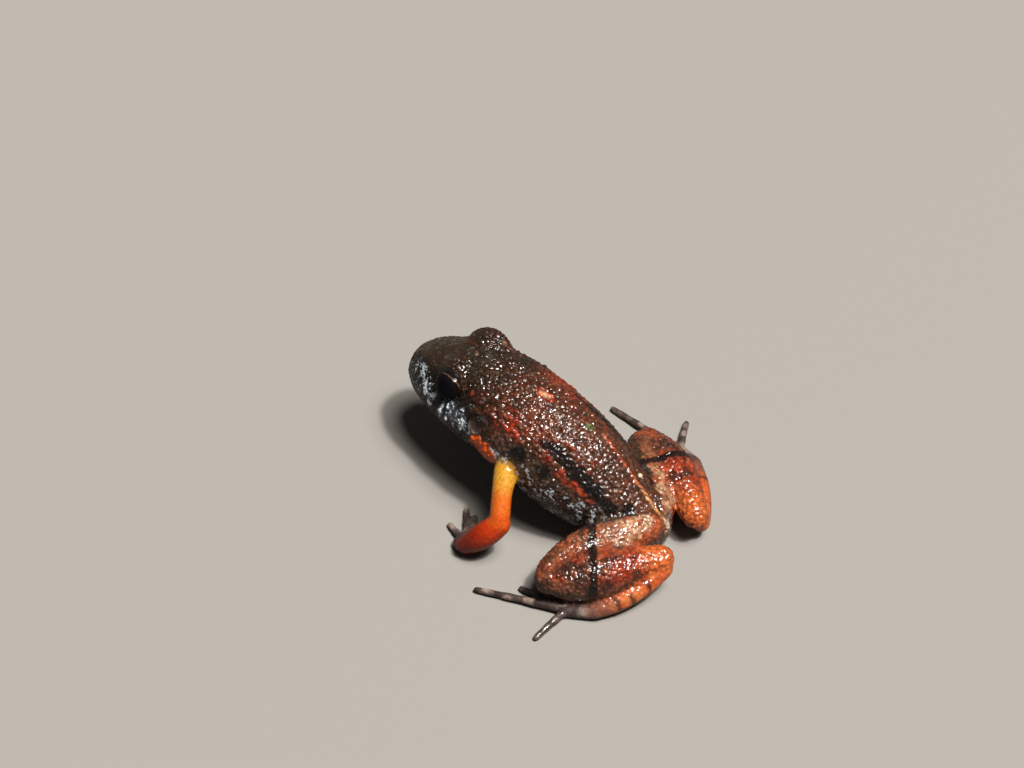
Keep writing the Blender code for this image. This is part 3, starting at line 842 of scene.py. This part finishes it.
ARM_YELLOW = (0.66, 0.31, 0.028)
ARM_ORANGE = (0.64, 0.120, 0.010)
ARMPIT_GREY = (0.10, 0.06, 0.045)
FOREARM_RED = (0.46, 0.034, 0.003)
WRIST_RED = (0.25, 0.012, 0.002)
THIGH_ORANGE = (0.400, 0.082, 0.026)
THIGH_TAN = (0.26, 0.110, 0.055)
THIGH_DARK = (0.040, 0.018, 0.013)
THIGH_UNDERSIDE_SHADE = (0.020, 0.014, 0.014)
KNEE_BROWN = (0.10, 0.030, 0.018)
SHANK_RED = (0.310, 0.038, 0.012)
SHANK_ORANGE = (0.42, 0.085, 0.026)
SHANK_TAN = (0.19, 0.075, 0.042)
SHANK_BROWN = (0.12, 0.056, 0.036)
SHANK_DARK = (0.032, 0.015, 0.011)
SHANK_LINE = (0.30, 0.014, 0.010)
HEEL_ORANGE = (0.66, 0.145, 0.032)
TARSUS_RED = (0.50, 0.090, 0.020)
TARSUS_ORANGE = (0.62, 0.16, 0.045)
TARSUS_BROWN = (0.14, 0.065, 0.045)
TOE_BROWN = (0.060, 0.040, 0.035)
TOE_GREY = (0.16, 0.115, 0.10)
TOE_PALE = (0.34, 0.25, 0.21)
TOE_DARK = (0.035, 0.022, 0.020)

# Wet skin is darker than dry skin
WETNESS = 0.68

# The finest flecks, as they look when wet
FLECK_PALE = (0.52, 0.58, 0.63)


class Paint:
    """Colours of all the points, laid one over another."""

    def __init__(self, base):
        self.colour = np.zeros((len(points), 3)) + np.asarray(base)

    def over(self, colour, amount):
        self.colour = mix(self.colour, colour, amount)


wide = cloud(points, 1.6, 11)
medium = cloud(points, 0.7, 23)
fine = noise(points, 0.22, 37)
ragged = (medium - 0.5) * 0.5 + (fine - 0.5) * 0.25
on_top = step(0.7, 0.9, rise)

trunk = Paint(DARK)
trunk.over(UMBER, 0.85 * step(0.36, 0.62, wide))
trunk.over(TAUPE, 0.55 * step(0.50, 0.75, medium) * step(0.2, 0.7, rise))
trunk.over(DULL_RED, 0.45 * step(0.50, 0.72, cloud(points, 1.1, 51)) * step(0.1, 0.5, rise))
trunk.over(DULL_RED, 0.9 * np.clip(red * 1.3, 0, 1))
trunk.over(RED, 0.8 * step(0.55, 0.95, red))
trunk.over(RUSSET, 0.22 * step(4.0, 1.0, at) * step(0.2, 0.5, rise))

# Flank and belly
low_flank = step(0.42, 0.18, rise + ragged * 0.3)
trunk.over(FLANK_BROWN, 0.88 * low_flank)
trunk.over(CREAM, 0.85 * step(-0.55, -0.95, rise + ragged * 0.4))
grey_flank = step(0.68, 0.48, rise + ragged * 0.3) * step(0.0, 0.25, rise) * step(2.2, 1.0, at)
trunk.over(FLANK_GREY, 0.6 * grey_flank)

# Red line along the flank's upper edge, and its last and brightest stretch
flank_gap, _ = line_distance(np.column_stack([at, rise]), [
    (2.2, 0.72), (0.5, 0.74), (-1.4, 0.70), (-2.9, 0.60), (-4.3, 0.50), (-5.3, 0.44), (-6.3, 0.40),
])
along_red = step(0.16, 0.05, flank_gap + np.maximum(ragged, -0.1) * 0.25)
along_red *= step(2.4, 1.6, at) * step(-6.6, -6.0, at) * part["body"]
trunk.over(RED, 0.75 * along_red * step(0.38, 0.6, noise(points, 0.6, 61)))
blob_gap, _ = line_distance(
    np.column_stack([at, rise * 4]), [(-4.7, 1.94), (-5.4, 1.78), (-6.15, 1.62)]
)
trunk.over(CLEAR_RED, step(0.30, 0.16, blob_gap + ragged * 0.1) * step(1, 2, away))

# Black band above it, and round blotches: along the spine, to its side, upwards, and radius
band_gap, band_share = line_distance(
    folded_map, [(-1.0, 2.72), (-3.1, 2.66), (-5.0, 2.74), (-6.4, 2.66), (-7.2, 2.5)]
)
band_gap = band_gap + ragged * 0.9 + 0.34 * step(0.30, 0.0, band_share)
dark_band = step(0.56, 0.30, band_gap) * step(0.3, 0.45, rise)
trunk.over(BLACK, 0.94 * dark_band)
smooth_dark = dark_band.copy()
BLOTCHES = [
    (-0.4, 3.95, 8.0, 0.70), (-2.5, 3.75, 7.4, 0.76), (-7.5, 2.5, 4.9, 0.80),
    (-8.7, 1.8, 4.6, 0.72), (1.2, 4.3, 6.9, 0.40), (-4.4, 4.0, 5.6, 0.40), (-5.9, 2.76, 6.3, 0.68),
]
for place, sideways, height, size in BLOTCHES:
    gap = np.sqrt((at - place) ** 2 + (away - sideways) ** 2 + (up - height) ** 2)
    blotch = step(size, size * 0.6, gap + ragged * 1.1)
    smooth_dark = np.maximum(smooth_dark, blotch)
    trunk.over(BLACK, 0.95 * blotch)

# Spots and stripe of the back
spot = np.hypot((at - 0.25) * 0.50, side + 0.34) + ragged * 0.16
trunk.over(RED, step(0.54, 0.38, spot) * on_top)
trunk.over(SPOT_CREAM, step(0.34, 0.18, spot) * on_top)
green = np.hypot(at + 3.8, side + 0.5)
trunk.over(SPOT_GREEN, 0.85 * step(0.44, 0.28, green + ragged * 0.2) * on_top)
stripe_edge = stripe_gap - 0.05 * step(-7, -10, at) + ragged * 0.05
stripe = on_stripe * step(0.17, 0.07, stripe_edge)
trunk.over(STRIPE_RED, 0.9 * stripe)
trunk.over(STRIPE_TAIL, 0.8 * stripe * step(-7.5, -9.5, at))
dot = np.hypot(at + 8.15, side + 1.0)
trunk.over(DOT_CREAM, step(0.24, 0.16, dot) * step(0.6, 0.9, rise))
trunk.over(KNOB_TAN, np.clip(knob * 1.2, 0, 1))
rump = step(-8.8, -10.0, at + ragged * 2.0) * step(0.9, 0.6, rise)
trunk.over(SAND, 0.75 * rump * step(0.42, 0.56, noise(points, 0.55, 131)))

# Head: crown, snout, cheek, jaw and throat
head = Paint(trunk.colour)
head.over(CROWN_BROWN, 0.85 * step(0.45, 0.9, rise) * step(3.5, 6.5, at))
between_eyes = step(6.2, 7.5, at) * step(10.2, 9.0, at)
head.over(CROWN_RUST, 0.5 * step(0.5, 0.7, cloud(points, 0.9, 71)) * between_eyes)
snout = step(9.3, 10.6, at + (0.75 - rise) * 2.0 + ragged)
head.over(SLATE, 0.9 * snout * step(0.97, 0.80, rise))
snout_top = snout * step(0.80, 0.97, rise) * step(0.42, 0.62, cloud(points, 0.5, 191))
head.over(SNOUT_TAN, 0.5 * snout_top)
cheek = step(0.86, 0.62, rise + ragged * 0.15) * step(3.6, 4.4, at)
head.over(CHEEK_BLACK, 0.92 * cheek * (1 - snout))
jaw = step(lip + 0.02, lip - 0.06, up) * step(3.4, 4.4, at)
head.over(JAW_BROWN, 0.9 * jaw)
head.over(JAW_GREY, 0.4 * jaw * bell(drop + 0.42, 0.10) * step(0.35, 0.6, medium))
throat = step(-0.85, -1.25, rise + ragged * 0.4) * step(3.4, 4.4, at)
head.over(CREAM, 0.7 * throat)

# Pale mottling of lip and cheek: along the spine, upwards, and radius
MOTTLES = [
    (10.9, 7.05, 0.14), (10.0, 7.20, 0.26), (8.65, 7.05, 0.34), (7.3, 6.95, 0.32), (6.3, 7.1, 0.28),
    (5.6, 7.7, 0.42), (5.0, 8.1, 0.36), (4.6, 7.7, 0.50), (3.9, 7.65, 0.42), (3.3, 7.35, 0.20),
    (4.9, 8.6, 0.22), (2.75, 7.85, 0.12), (5.4, 7.0, 0.22),
]
mottle = np.zeros(len(points))
for place, height, size in MOTTLES:
    gap = np.hypot(at - place, (up - height) * 0.85) + (medium - 0.5) * 0.30
    mottle = np.maximum(mottle, step(size + 0.10, size * 0.6, gap))
mottle *= step(lip + 0.02, lip + 0.16, up) * (1 - disc)
below_eye = bell(at - 6.0, 1.7) * bell(up - 7.9, 0.55) * step(4.0, 4.6, at) * (1 - disc)
streak_gap, _ = line_distance(side_map, [(11.5, 8.1), (10.3, 8.35), (9.5, 7.9), (8.9, 7.4)])
streak = step(0.55, 0.25, streak_gap + ragged * 0.5) * on_head
pale_ground = np.maximum(0.5 * mottle, 0.3 * streak * step(0.5, 0.62, medium))
head.over(BLUE_GREY, pale_ground)
head.over(BLUE_GREY, 0.30 * below_eye * step(0.40, 0.62, noise(points, 0.5, 83)))

# Mouth and ear
# Painted shade: a black line along the groove of the mouth
head.over(MOUTH_GROOVE_SHADE, 0.85 * around * bell(drop, 0.09))
# Painted shade: black in the crease between the ear's ring and the fold above it
head.over(BLACK, 0.9 * bell(ear_gap - 0.78, 0.14) * step(EAR[1] - 0.1, EAR[1] + 0.3, up))
head.over(EAR_BROWN, 0.95 * disc)
head.over(EAR_RIM_GREY, 0.8 * bell(ring_gap - 0.02, 0.07) * step(EAR[1] + 0.2, EAR[1] - 0.2, up))

# Small marks: along the spine, to its side, radius, colour, and whether they are on both sides
HEAD_MARKS = [
    (6.88, 0.0, 0.19, (0.68, 0.42, 0.27), False), (7.1, -0.18, 0.10, (0.55, 0.22, 0.10), False),
    (6.2, 2.45, 0.26, (0.60, 0.28, 0.17), True), (5.75, 2.6, 0.24, (0.62, 0.22, 0.12), True),
    (5.4, 2.7, 0.17, (0.50, 0.20, 0.10), True), (4.75, 2.75, 0.24, (0.34, 0.045, 0.02), True),
    (5.9, -0.35, 0.30, (0.16, 0.15, 0.13), False), (5.2, 0.05, 0.26, (0.15, 0.14, 0.12), False),
]
for place, sideways, size, colour, both in HEAD_MARKS:
    gap = np.hypot(at - place, (away if both else side) - sideways) + ragged * 0.25
    head.over(colour, 0.9 * step(size, size * 0.5, gap) * step(0.55, 0.7, rise))

# Lids, with a coppery thread over the black rim
head.over(LID_RED, 0.65 * lid_top * step(0.42, 0.62, cloud(points, 0.6, 91)))
head.over(BLACK, 0.9 * step(1.16, 1.04, rim_gap))
thread = bell(rim_gap - 1.22, 0.06) * step(0.52, 0.66, fine) * step(9.2, 9.8, up)
head.over(LID_COPPER, 0.55 * thread)

whole = Paint(mix(trunk.colour, head.colour, step(2.4, 3.6, at)))
whole.over(NAPE_BROWN, 0.42 * step(1.8, 3.4, at) * step(2.8, 2.0, away) * step(0.6, 0.9, rise))
whole.over((0.0, 0.0, 0.0), 0.46 * step(0.8, 3.8, at) * step(0.3, 0.6, rise))
whole.over(GLAND_ORANGE, np.clip(gland * 1.6, 0, 1) * step(0.16, 0.36, fine + 0.2))

# Arms: yellow at the shoulder, through orange, to deep red-orange at the wrist
arm_colour = np.zeros((len(points), 3))
for way in ("left", "right"):
    share = shares[f"upper_arm_{way}"]
    upper = Paint(ARM_YELLOW)
    upper.over(ARM_ORANGE, step(0.46, 0.80, share + ragged * 0.2))
    upper.over(ARMPIT_GREY, step(0.36, 0.22, share))
    fore = Paint(FOREARM_RED)
    fore.over(WRIST_RED, step(0.15, 0.75, shares[f"forearm_{way}"] + ragged * 0.3))
    arm_colour += upper.colour * part[f"upper_arm_{way}"][:, None]
    arm_colour += fore.colour * part[f"forearm_{way}"][:, None]

# Legs: granular red-orange with a black bar across thigh and shank. A bar has a direction
# across it on the floor plan, its place that way and its half width. The thighs' dark patches
# are not equally strong, and inside and ahead of a slanting line over the hip a thigh has the
# colours of the trunk.
BARS = {"left": ((-0.854, -0.520, 0.0), 3.80, 0.42), "right": ((0.790, -0.610, 0.0), -3.28, 0.40)}
DARK_SHARE = {"left": 0.80, "right": 0.45}
leg_colour = np.zeros((len(points), 3))
hip = 0.707 * (np.abs(points[:, 1]) - 3.4) - 0.707 * (points[:, 0] + 7.4)
on_trunk = step(0.30, 0.05, hip + ragged * 1.3)
sandy = step(0.40, 0.55, noise(points, 0.55, 131)) * (0.35 + 0.65 * step(0.3, 0.5, fine))
for way, (across, place, width) in BARS.items():
    bar = step(width, width - 0.16, np.abs(points @ across - place + ragged * 0.35))
    share = shares[f"thigh_{way}"]
    thigh = Paint(THIGH_ORANGE)
    thigh.over(THIGH_TAN, 0.75 * step(0.45, 0.62, cloud(points, 0.8, 101)))
    near_hip = step(0.52, 0.40, share + ragged * 0.3) * step(0.1, 0.6, facing_up)
    thigh.over(SAND, 0.85 * near_hip * sandy)
    thigh.over(KNEE_BROWN, 0.7 * bell(share - 0.86, 0.035) * step(0.3, 0.6, facing_up))
    patches = step(0.54, 0.66, cloud(points, 0.9, 151)) * step(0.35, 0.55, share)
    thigh.over(THIGH_DARK, DARK_SHARE[way] * patches)
    thigh.over(trunk.colour, on_trunk)
    thigh.over(BLACK, 0.95 * bar)
    # Painted shade: the undersides of the thighs, which face the floor, are made near black
    thigh.over(THIGH_UNDERSIDE_SHADE, 0.7 * step(0.30, -0.30, facing_up))

    share = shares[f"shank_{way}"]
    shank = Paint(SHANK_RED)
    shank.over(SHANK_ORANGE, 0.8 * step(0.45, 0.65, cloud(points, 1.0, 111)))
    shank.over(SHANK_TAN, 0.85 * step(0.50, 0.34, share + ragged * 0.3) * step(0.30, 0.50, medium))
    shank.over(HEEL_ORANGE, 0.8 * step(0.70, 0.90, share))
    low_side = step(0.55, 0.05, facing_up + ragged * 0.6) * step(0.84, 0.64, share)
    shank.over(SHANK_BROWN, 0.85 * low_side)
    patches = step(0.55, 0.66, cloud(points, 0.8, 161)) * step(0.85, 0.7, share)
    shank.over(SHANK_DARK, 0.80 * patches)
    shank.over(BLACK, 0.95 * bar * step(-0.5, 0.0, facing_up))
    ring = step(0.030, 0.014, np.abs(share - 0.70 + ragged * 0.1)) * step(0.4, 0.0, facing_up)
    shank.over(BLACK, 0.6 * ring)
    red_line = step(0.030, 0.015, np.abs(share - 0.50)) * bell(facing_up - 0.75, 0.15)
    shank.over(SHANK_LINE, red_line * step(0.5, 0.6, medium))

    share = shares[f"tarsus_{way}"]
    tarsus = Paint(TARSUS_RED)
    tarsus.over(TARSUS_ORANGE, step(0.45, 0.65, medium))
    rings = np.min([np.abs(share - ring_at + ragged * 0.1) for ring_at in (0.30, 0.55, 0.72)], axis=0)
    tarsus.over(BLACK, 0.8 * step(0.040, 0.018, rings) * step(0.35, 0.6, noise(points, 0.6, 141)))
    tarsus.over(TARSUS_BROWN, 0.8 * step(0.65, 0.9, share + ragged * 0.3))
    for name, paint in (("thigh", thigh), ("shank", shank), ("tarsus", tarsus)):
        leg_colour += paint.colour * part[f"{name}_{way}"][:, None]

# Hands and feet: grey-brown, with pale and dark rings along the toes
toe = Paint(TOE_BROWN)
toe.over(TOE_GREY, step(0.4, 0.7, medium))
toe_rings = noise(points, 0.85, 121)
toe.over(TOE_PALE, 0.7 * step(0.56, 0.70, toe_rings))
toe.over(TOE_DARK, 0.7 * step(0.45, 0.30, toe_rings))

# The whole skin, and the marks at the end of the back that reach over the thighs
skin_paint = Paint(
    whole.colour * part["body"][:, None] + arm_colour + leg_colour + toe.colour * ends[:, None]
)
seen_above = step(-0.3, 0.2, facing_up)
tail = step(-8.6, -9.6, at) * step(0.0, 0.4, facing_up) * step(0.20, 0.09, stripe_gap + ragged * 0.05)
skin_paint.over(STRIPE_TAIL, 0.85 * tail * step(-11.3, -11.0, at))
skin_paint.over(KNOB_CREAM, 0.9 * step(0.30, 0.16, np.hypot(at + 11.0, side - 0.12)) * seen_above)
skin_paint.over(KNOB_GREY, 0.8 * step(0.34, 0.20, np.hypot(at + 11.0, side + 0.55)) * seen_above)
# Painted shade: hands and feet grow up to a quarter darker towards the floor, over the lowest half
# millimetre. All colours are then darkened for wet skin
colour = skin_paint.colour * (1.0 - 0.25 * step(0.5, 0.0, up) * ends)[:, None] * WETNESS

# Masks for the finer pattern of the material. The grain mask sets both the granules' bump and their
# painted crevice shade
flecks = np.maximum(mottle, 0.42 * streak) + 0.30 * below_eye + 0.03 * on_head + 0.03
flecks += 0.16 * snout * step(0.05, 0.3, rise) * step(0.95, 0.6, rise)
flecks += 0.56 * low_flank * step(-0.9, -0.3, rise) * step(4.0, 2.0, at)
flecks = part["body"] * np.clip(flecks, 0.0, 1.0) * (1 - gland) * (1 - disc)
grain = np.clip(rough_skin + 0.25 + 0.3 * low_flank * part["body"], 0, 1)
grain *= (1 - 0.85 * arms) * (1 - 0.8 * disc) * (1 - 0.5 * ends) * (1 - 0.2 * legs)
grain *= 1 - 0.35 * smooth_dark * part["body"] * step(3.0, 2.0, at)
grain *= 1 - 0.3 * on_head * step(8.5, 9.5, at)
grain[rim_gap < 1.1] = 0.0


# Materials

def new_material(name):
    """A material with functions that add to it a node, a sum or the like, or a new range."""
    material = bpy.data.materials.new(name)
    material.use_nodes = True
    tree_of = material.node_tree
    tree_of.nodes.clear()

    def make(kind, inputs=None, **settings):
        node = tree_of.nodes.new(kind)
        for name, value in settings.items():
            setattr(node, name, value)
        for name, value in (inputs or {}).items():
            if isinstance(value, bpy.types.NodeSocket):
                tree_of.links.new(value, node.inputs[name])
            else:
                node.inputs[name].default_value = value
        return node

    def reckon(operation, *values):
        return make("ShaderNodeMath", dict(enumerate(values)), operation=operation).outputs[0]

    def scaled(value, low, high, new_low=0.0, new_high=1.0):
        limits = {"From Min": low, "From Max": high, "To Min": new_low, "To Max": new_high}
        return make("ShaderNodeMapRange", {"Value": value, **limits}).outputs["Result"]

    return material, make, reckon, scaled


def skin_material():
    material, make, reckon, scaled = new_material("frog_skin")
    place = make("ShaderNodeTexCoord").outputs["Object"]
    tint = make("ShaderNodeAttribute", attribute_name="tint").outputs["Color"]
    fleck_mask = make("ShaderNodeAttribute", attribute_name="flecks").outputs["Fac"]
    granule_and_crevice_shade_mask = make("ShaderNodeAttribute", attribute_name="grain").outputs["Fac"]

    # Granules: rounded cells of two sizes, and the smallest unevenness
    cells = []
    for scale, smoothness, depth in ((3000.0, 0.35, -1.4), (6000.0, 0.4, -0.22)):
        cell = make("ShaderNodeTexVoronoi", {"Vector": place, "Scale": scale}, feature="SMOOTH_F1")
        cell.inputs["Smoothness"].default_value = smoothness
        dome = reckon("POWER", cell.outputs["Distance"], 2.0)
        cells.append((cell.outputs["Distance"], reckon("MULTIPLY", dome, depth)))
    granules = reckon("MULTIPLY", reckon("ADD", cells[0][1], cells[1][1]), granule_and_crevice_shade_mask)
    dust = make("ShaderNodeTexNoise", {"Vector": place, "Scale": 7000.0, "Detail": 1.0})
    height = reckon("ADD", granules, reckon("MULTIPLY", dust.outputs["Fac"], 0.03))
    bump = make("ShaderNodeBump", {"Height": height, "Strength": 0.85, "Distance": 0.00012})

    # Fine pale flecks, crowded where their mask is strong
    speck_look = {"Vector": place, "Scale": 4600.0, "Detail": 4.0, "Roughness": 0.6}
    speck = make("ShaderNodeTexNoise", speck_look).outputs["Fac"]
    patch_look = {"Vector": place, "Scale": 1500.0, "Detail": 2.0}
    patch = make("ShaderNodeTexNoise", patch_look).outputs["Fac"]
    crowded = reckon("MULTIPLY_ADD", fleck_mask, 0.17, reckon("ADD", speck, patch))
    amount = reckon("MULTIPLY", scaled(crowded, 1.16, 1.20), fleck_mask)

    # Lighter and darker grains, and painted shade in the crevices between the granules
    crevice_shade = scaled(cells[0][0], 0.28, 0.62, 1.12, 0.50)
    crevice_shade_change = reckon("MULTIPLY", reckon("ADD", crevice_shade, -1.0), granule_and_crevice_shade_mask)
    tone_and_crevice_shade = reckon("MULTIPLY", reckon("ADD", crevice_shade_change, 1.0), scaled(speck, 0.3, 0.7, 0.66, 1.35))
    shaded = make(
        "ShaderNodeMix", {"Factor": 1.0, "A": tint, "B": tone_and_crevice_shade}, data_type="RGBA", blend_type="MULTIPLY"
    )
    mottled = make(
        "ShaderNodeMix",
        {"Factor": amount, "A": shaded.outputs["Result"], "B": (*FLECK_PALE, 1.0)},
        data_type="RGBA",
    )
    shader = make("ShaderNodeBsdfPrincipled", {
        "Base Color": mottled.outputs["Result"],
        "Roughness": scaled(patch, 0.3, 0.7, 0.28, 0.46),
        "Normal": bump.outputs["Normal"],
        "Coat Normal": bump.outputs["Normal"],
    })
    shader.inputs["IOR"].default_value = 1.42
    shader.inputs["Specular IOR Level"].default_value = 0.2
    shader.inputs["Coat Weight"].default_value = 0.85
    shader.inputs["Coat Roughness"].default_value = 0.06
    make("ShaderNodeOutputMaterial", {"Surface": shader.outputs[0]})
    return material


def eye_material():
    """Black pupil in a near-black iris with a thin coppery edge, under a wet cornea."""
    material, make, reckon, _ = new_material("frog_eye")
    look = make("ShaderNodeAttribute", attribute_name="look").outputs["Vector"]
    parts = make("ShaderNodeSeparateXYZ", {0: look})
    squared_x = reckon("POWER", parts.outputs["X"], 2.0)
    squared_y = reckon("POWER", parts.outputs["Y"], 2.0)
    distance = reckon("POWER", reckon("ADD", squared_x, squared_y), 0.5)
    threads = make("ShaderNodeTexNoise", {"Vector": look, "Scale": 9.0, "Detail": 4.0})
    ragged_edge = reckon("MULTIPLY", threads.outputs["Fac"], 0.10)
    ramp = make("ShaderNodeValToRGB", {"Fac": reckon("ADD", distance, ragged_edge)})
    stops = [
        (0.00, (0.002, 0.002, 0.003)), (0.70, (0.002, 0.002, 0.003)), (0.76, (0.004, 0.003, 0.003)),
        (0.90, (0.004, 0.003, 0.003)), (0.925, (0.110, 0.060, 0.038)), (0.95, (0.006, 0.004, 0.004)),
        (1.00, (0.006, 0.005, 0.005)),
    ]
    elements = ramp.color_ramp.elements
    for number, (place, value) in enumerate(stops):
        stop = elements[number] if number < 2 else elements.new(place)
        stop.position = place
        stop.color = (*value, 1.0)
    shader = make("ShaderNodeBsdfPrincipled", {"Base Color": ramp.outputs["Color"]})
    shader.inputs["Roughness"].default_value = 0.25
    shader.inputs["Specular IOR Level"].default_value = 0.0
    shader.inputs["Coat Weight"].default_value = 0.3
    shader.inputs["Coat Roughness"].default_value = 0.04
    make("ShaderNodeOutputMaterial", {"Surface": shader.outputs[0]})
    return material


# Objects

def add_object(name, data):
    thing = bpy.data.objects.new(name, data)
    bpy.context.scene.collection.objects.link(thing)
    return thing


skin_mesh = mesh_from("skin", to_world(points), quads)
for name, values in (("flecks", flecks), ("grain", grain)):
    attribute = skin_mesh.attributes.new(name, "FLOAT", "POINT")
    attribute.data.foreach_set("value", values.astype(np.float32))
tints = skin_mesh.color_attributes.new("tint", "FLOAT_COLOR", "POINT")
rgba = np.column_stack([np.clip(colour, 0.0, 1.0), np.ones(len(points))]).astype(np.float32)
tints.data.foreach_set("color", rgba.ravel())
skin_mesh.shade_smooth()
skin_mesh.materials.append(skin_material())
skin = add_object("skin", skin_mesh)
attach(skin, "root")
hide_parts(*[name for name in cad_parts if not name.startswith("eye")])

eye_paint = eye_material()
for way, name in ((1, "left"), (-1, "right")):
    centre = eye_centre(way)
    outlook, fore, over = eye_axes(way)
    unit, eye_faces = ball(np.zeros(3), 1.0, 64, 48)
    front = unit @ outlook
    bulge = 1.0 + 0.03 * step(0.45, 0.95, front)
    eye_points = to_world(centre + unit * (EYE_RADIUS * bulge)[:, None])
    eye_mesh = mesh_from(f"eyeball_{name}", eye_points, eye_faces)
    looks = np.column_stack([unit @ fore * 0.86, unit @ over, np.where(front > 0, front, -1.0)])
    attribute = eye_mesh.attributes.new("look", "FLOAT_VECTOR", "POINT")
    attribute.data.foreach_set("vector", looks.astype(np.float32).ravel())
    eye_mesh.shade_smooth()
    eye_mesh.materials.append(eye_paint)
    eye = add_object(f"eyeball_{name}", eye_mesh)
    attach(eye, "root")
    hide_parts(f"eye_{name}")


# Floor, light and camera

def colour_by_ray(node_tree, ray, usual, special):
    """Socket with one colour for a kind of ray and the usual one for all others."""
    kind = node_tree.nodes.new("ShaderNodeLightPath").outputs[ray]
    blend = node_tree.nodes.new("ShaderNodeMix")
    blend.data_type = "RGBA"
    blend.inputs["A"].default_value = (*usual, 1.0)
    blend.inputs["B"].default_value = (*special, 1.0)
    node_tree.links.new(kind, blend.inputs["Factor"])
    return blend.outputs["Result"]


floor_mesh = mesh_from("floor", [(-2, -2, 0), (2, -2, 0), (2, 2, 0), (-2, 2, 0)], [(0, 1, 2, 3)])
floor_paint = bpy.data.materials.new("floor")
floor_paint.use_nodes = True
floor_tree = floor_paint.node_tree
floor_shader = floor_tree.nodes["Principled BSDF"]
floor_shader.inputs["Roughness"].default_value = 0.8
floor_tone = colour_by_ray(
    floor_tree, "Is Glossy Ray", (0.205, 0.194, 0.180), (0.050, 0.044, 0.038)
)
floor_tree.links.new(floor_tone, floor_shader.inputs["Base Color"])
floor_mesh.materials.append(floor_paint)
floor = add_object("floor", floor_mesh)

world = bpy.data.worlds.new("studio")
bpy.context.scene.world = world
world.use_nodes = True
sky_tone = colour_by_ray(
    world.node_tree, "Is Camera Ray", (0.065, 0.062, 0.058), (0.520, 0.492, 0.456)
)
world.node_tree.links.new(sky_tone, world.node_tree.nodes["Background"].inputs["Color"])

# View from above and behind the frog's left shoulder, as in the photograph, with the frog's
# origin at a place in the picture counted from its upper left corner
ELEVATION = math.radians(46.0)
ROUND = math.radians(31.3)
DISTANCE = 200.0
PICTURE_SIZE = (1024, 768)
PIXELS_PER_MM = 12.6
FROG_AT = (541, 493.7)
RIGHTWARD = (FROG_AT[0] - PICTURE_SIZE[0] / 2) / PIXELS_PER_MM
UPWARD = (PICTURE_SIZE[1] / 2 - FROG_AT[1]) / PIXELS_PER_MM
SENSOR_WIDTH = 36.0
cam_right = np.array([-math.cos(ROUND), -math.sin(ROUND), 0.0])
onward = np.array([math.sin(ROUND), -math.cos(ROUND), 0.0])
cam_look = onward * math.cos(ELEVATION) - np.array([0.0, 0.0, math.sin(ELEVATION)])
cam_up = onward * math.sin(ELEVATION) + np.array([0.0, 0.0, math.cos(ELEVATION)])
cam_place = -(cam_look * DISTANCE + cam_right * RIGHTWARD + cam_up * UPWARD)

camera = add_object("camera", bpy.data.cameras.new("camera"))
camera.data.sensor_width = SENSOR_WIDTH
camera.data.lens = SENSOR_WIDTH * DISTANCE * PIXELS_PER_MM / PICTURE_SIZE[0]
camera.data.clip_start = 0.005
camera.data.clip_end = 20.0
axes = [world_vector(cam_right), world_vector(cam_up), -world_vector(cam_look)]
turn = Matrix((axes[0], axes[1], axes[2])).transposed().to_4x4()
camera.matrix_world = Matrix.Translation(Vector(to_world([cam_place])[0])) @ turn
bpy.context.scene.camera = camera


def add_sun(name, direction, degrees, strength, colour):
    """Lamp far away in a direction (forward, left, up), as wide as the given angle."""
    lamp = bpy.data.lights.new(name, "SUN")
    lamp.angle = math.radians(degrees)
    lamp.energy = strength
    lamp.color = colour
    thing = add_object(name, lamp)
    thing.matrix_world = (-world_vector(direction)).to_track_quat("-Z", "Y").to_matrix().to_4x4()


soft_way = -cam_look * 0.78 + cam_up * 0.55 + cam_right * 0.30
clear_way = -cam_look * 0.80 + cam_up * 0.494 + cam_right * 0.342
add_sun("soft", soft_way, 26.0, 4.5, (1.0, 0.96, 0.90))
add_sun("clear", clear_way, 5.0, 3.6, (1.0, 0.97, 0.93))

bpy.context.scene.view_settings.view_transform = "Standard"
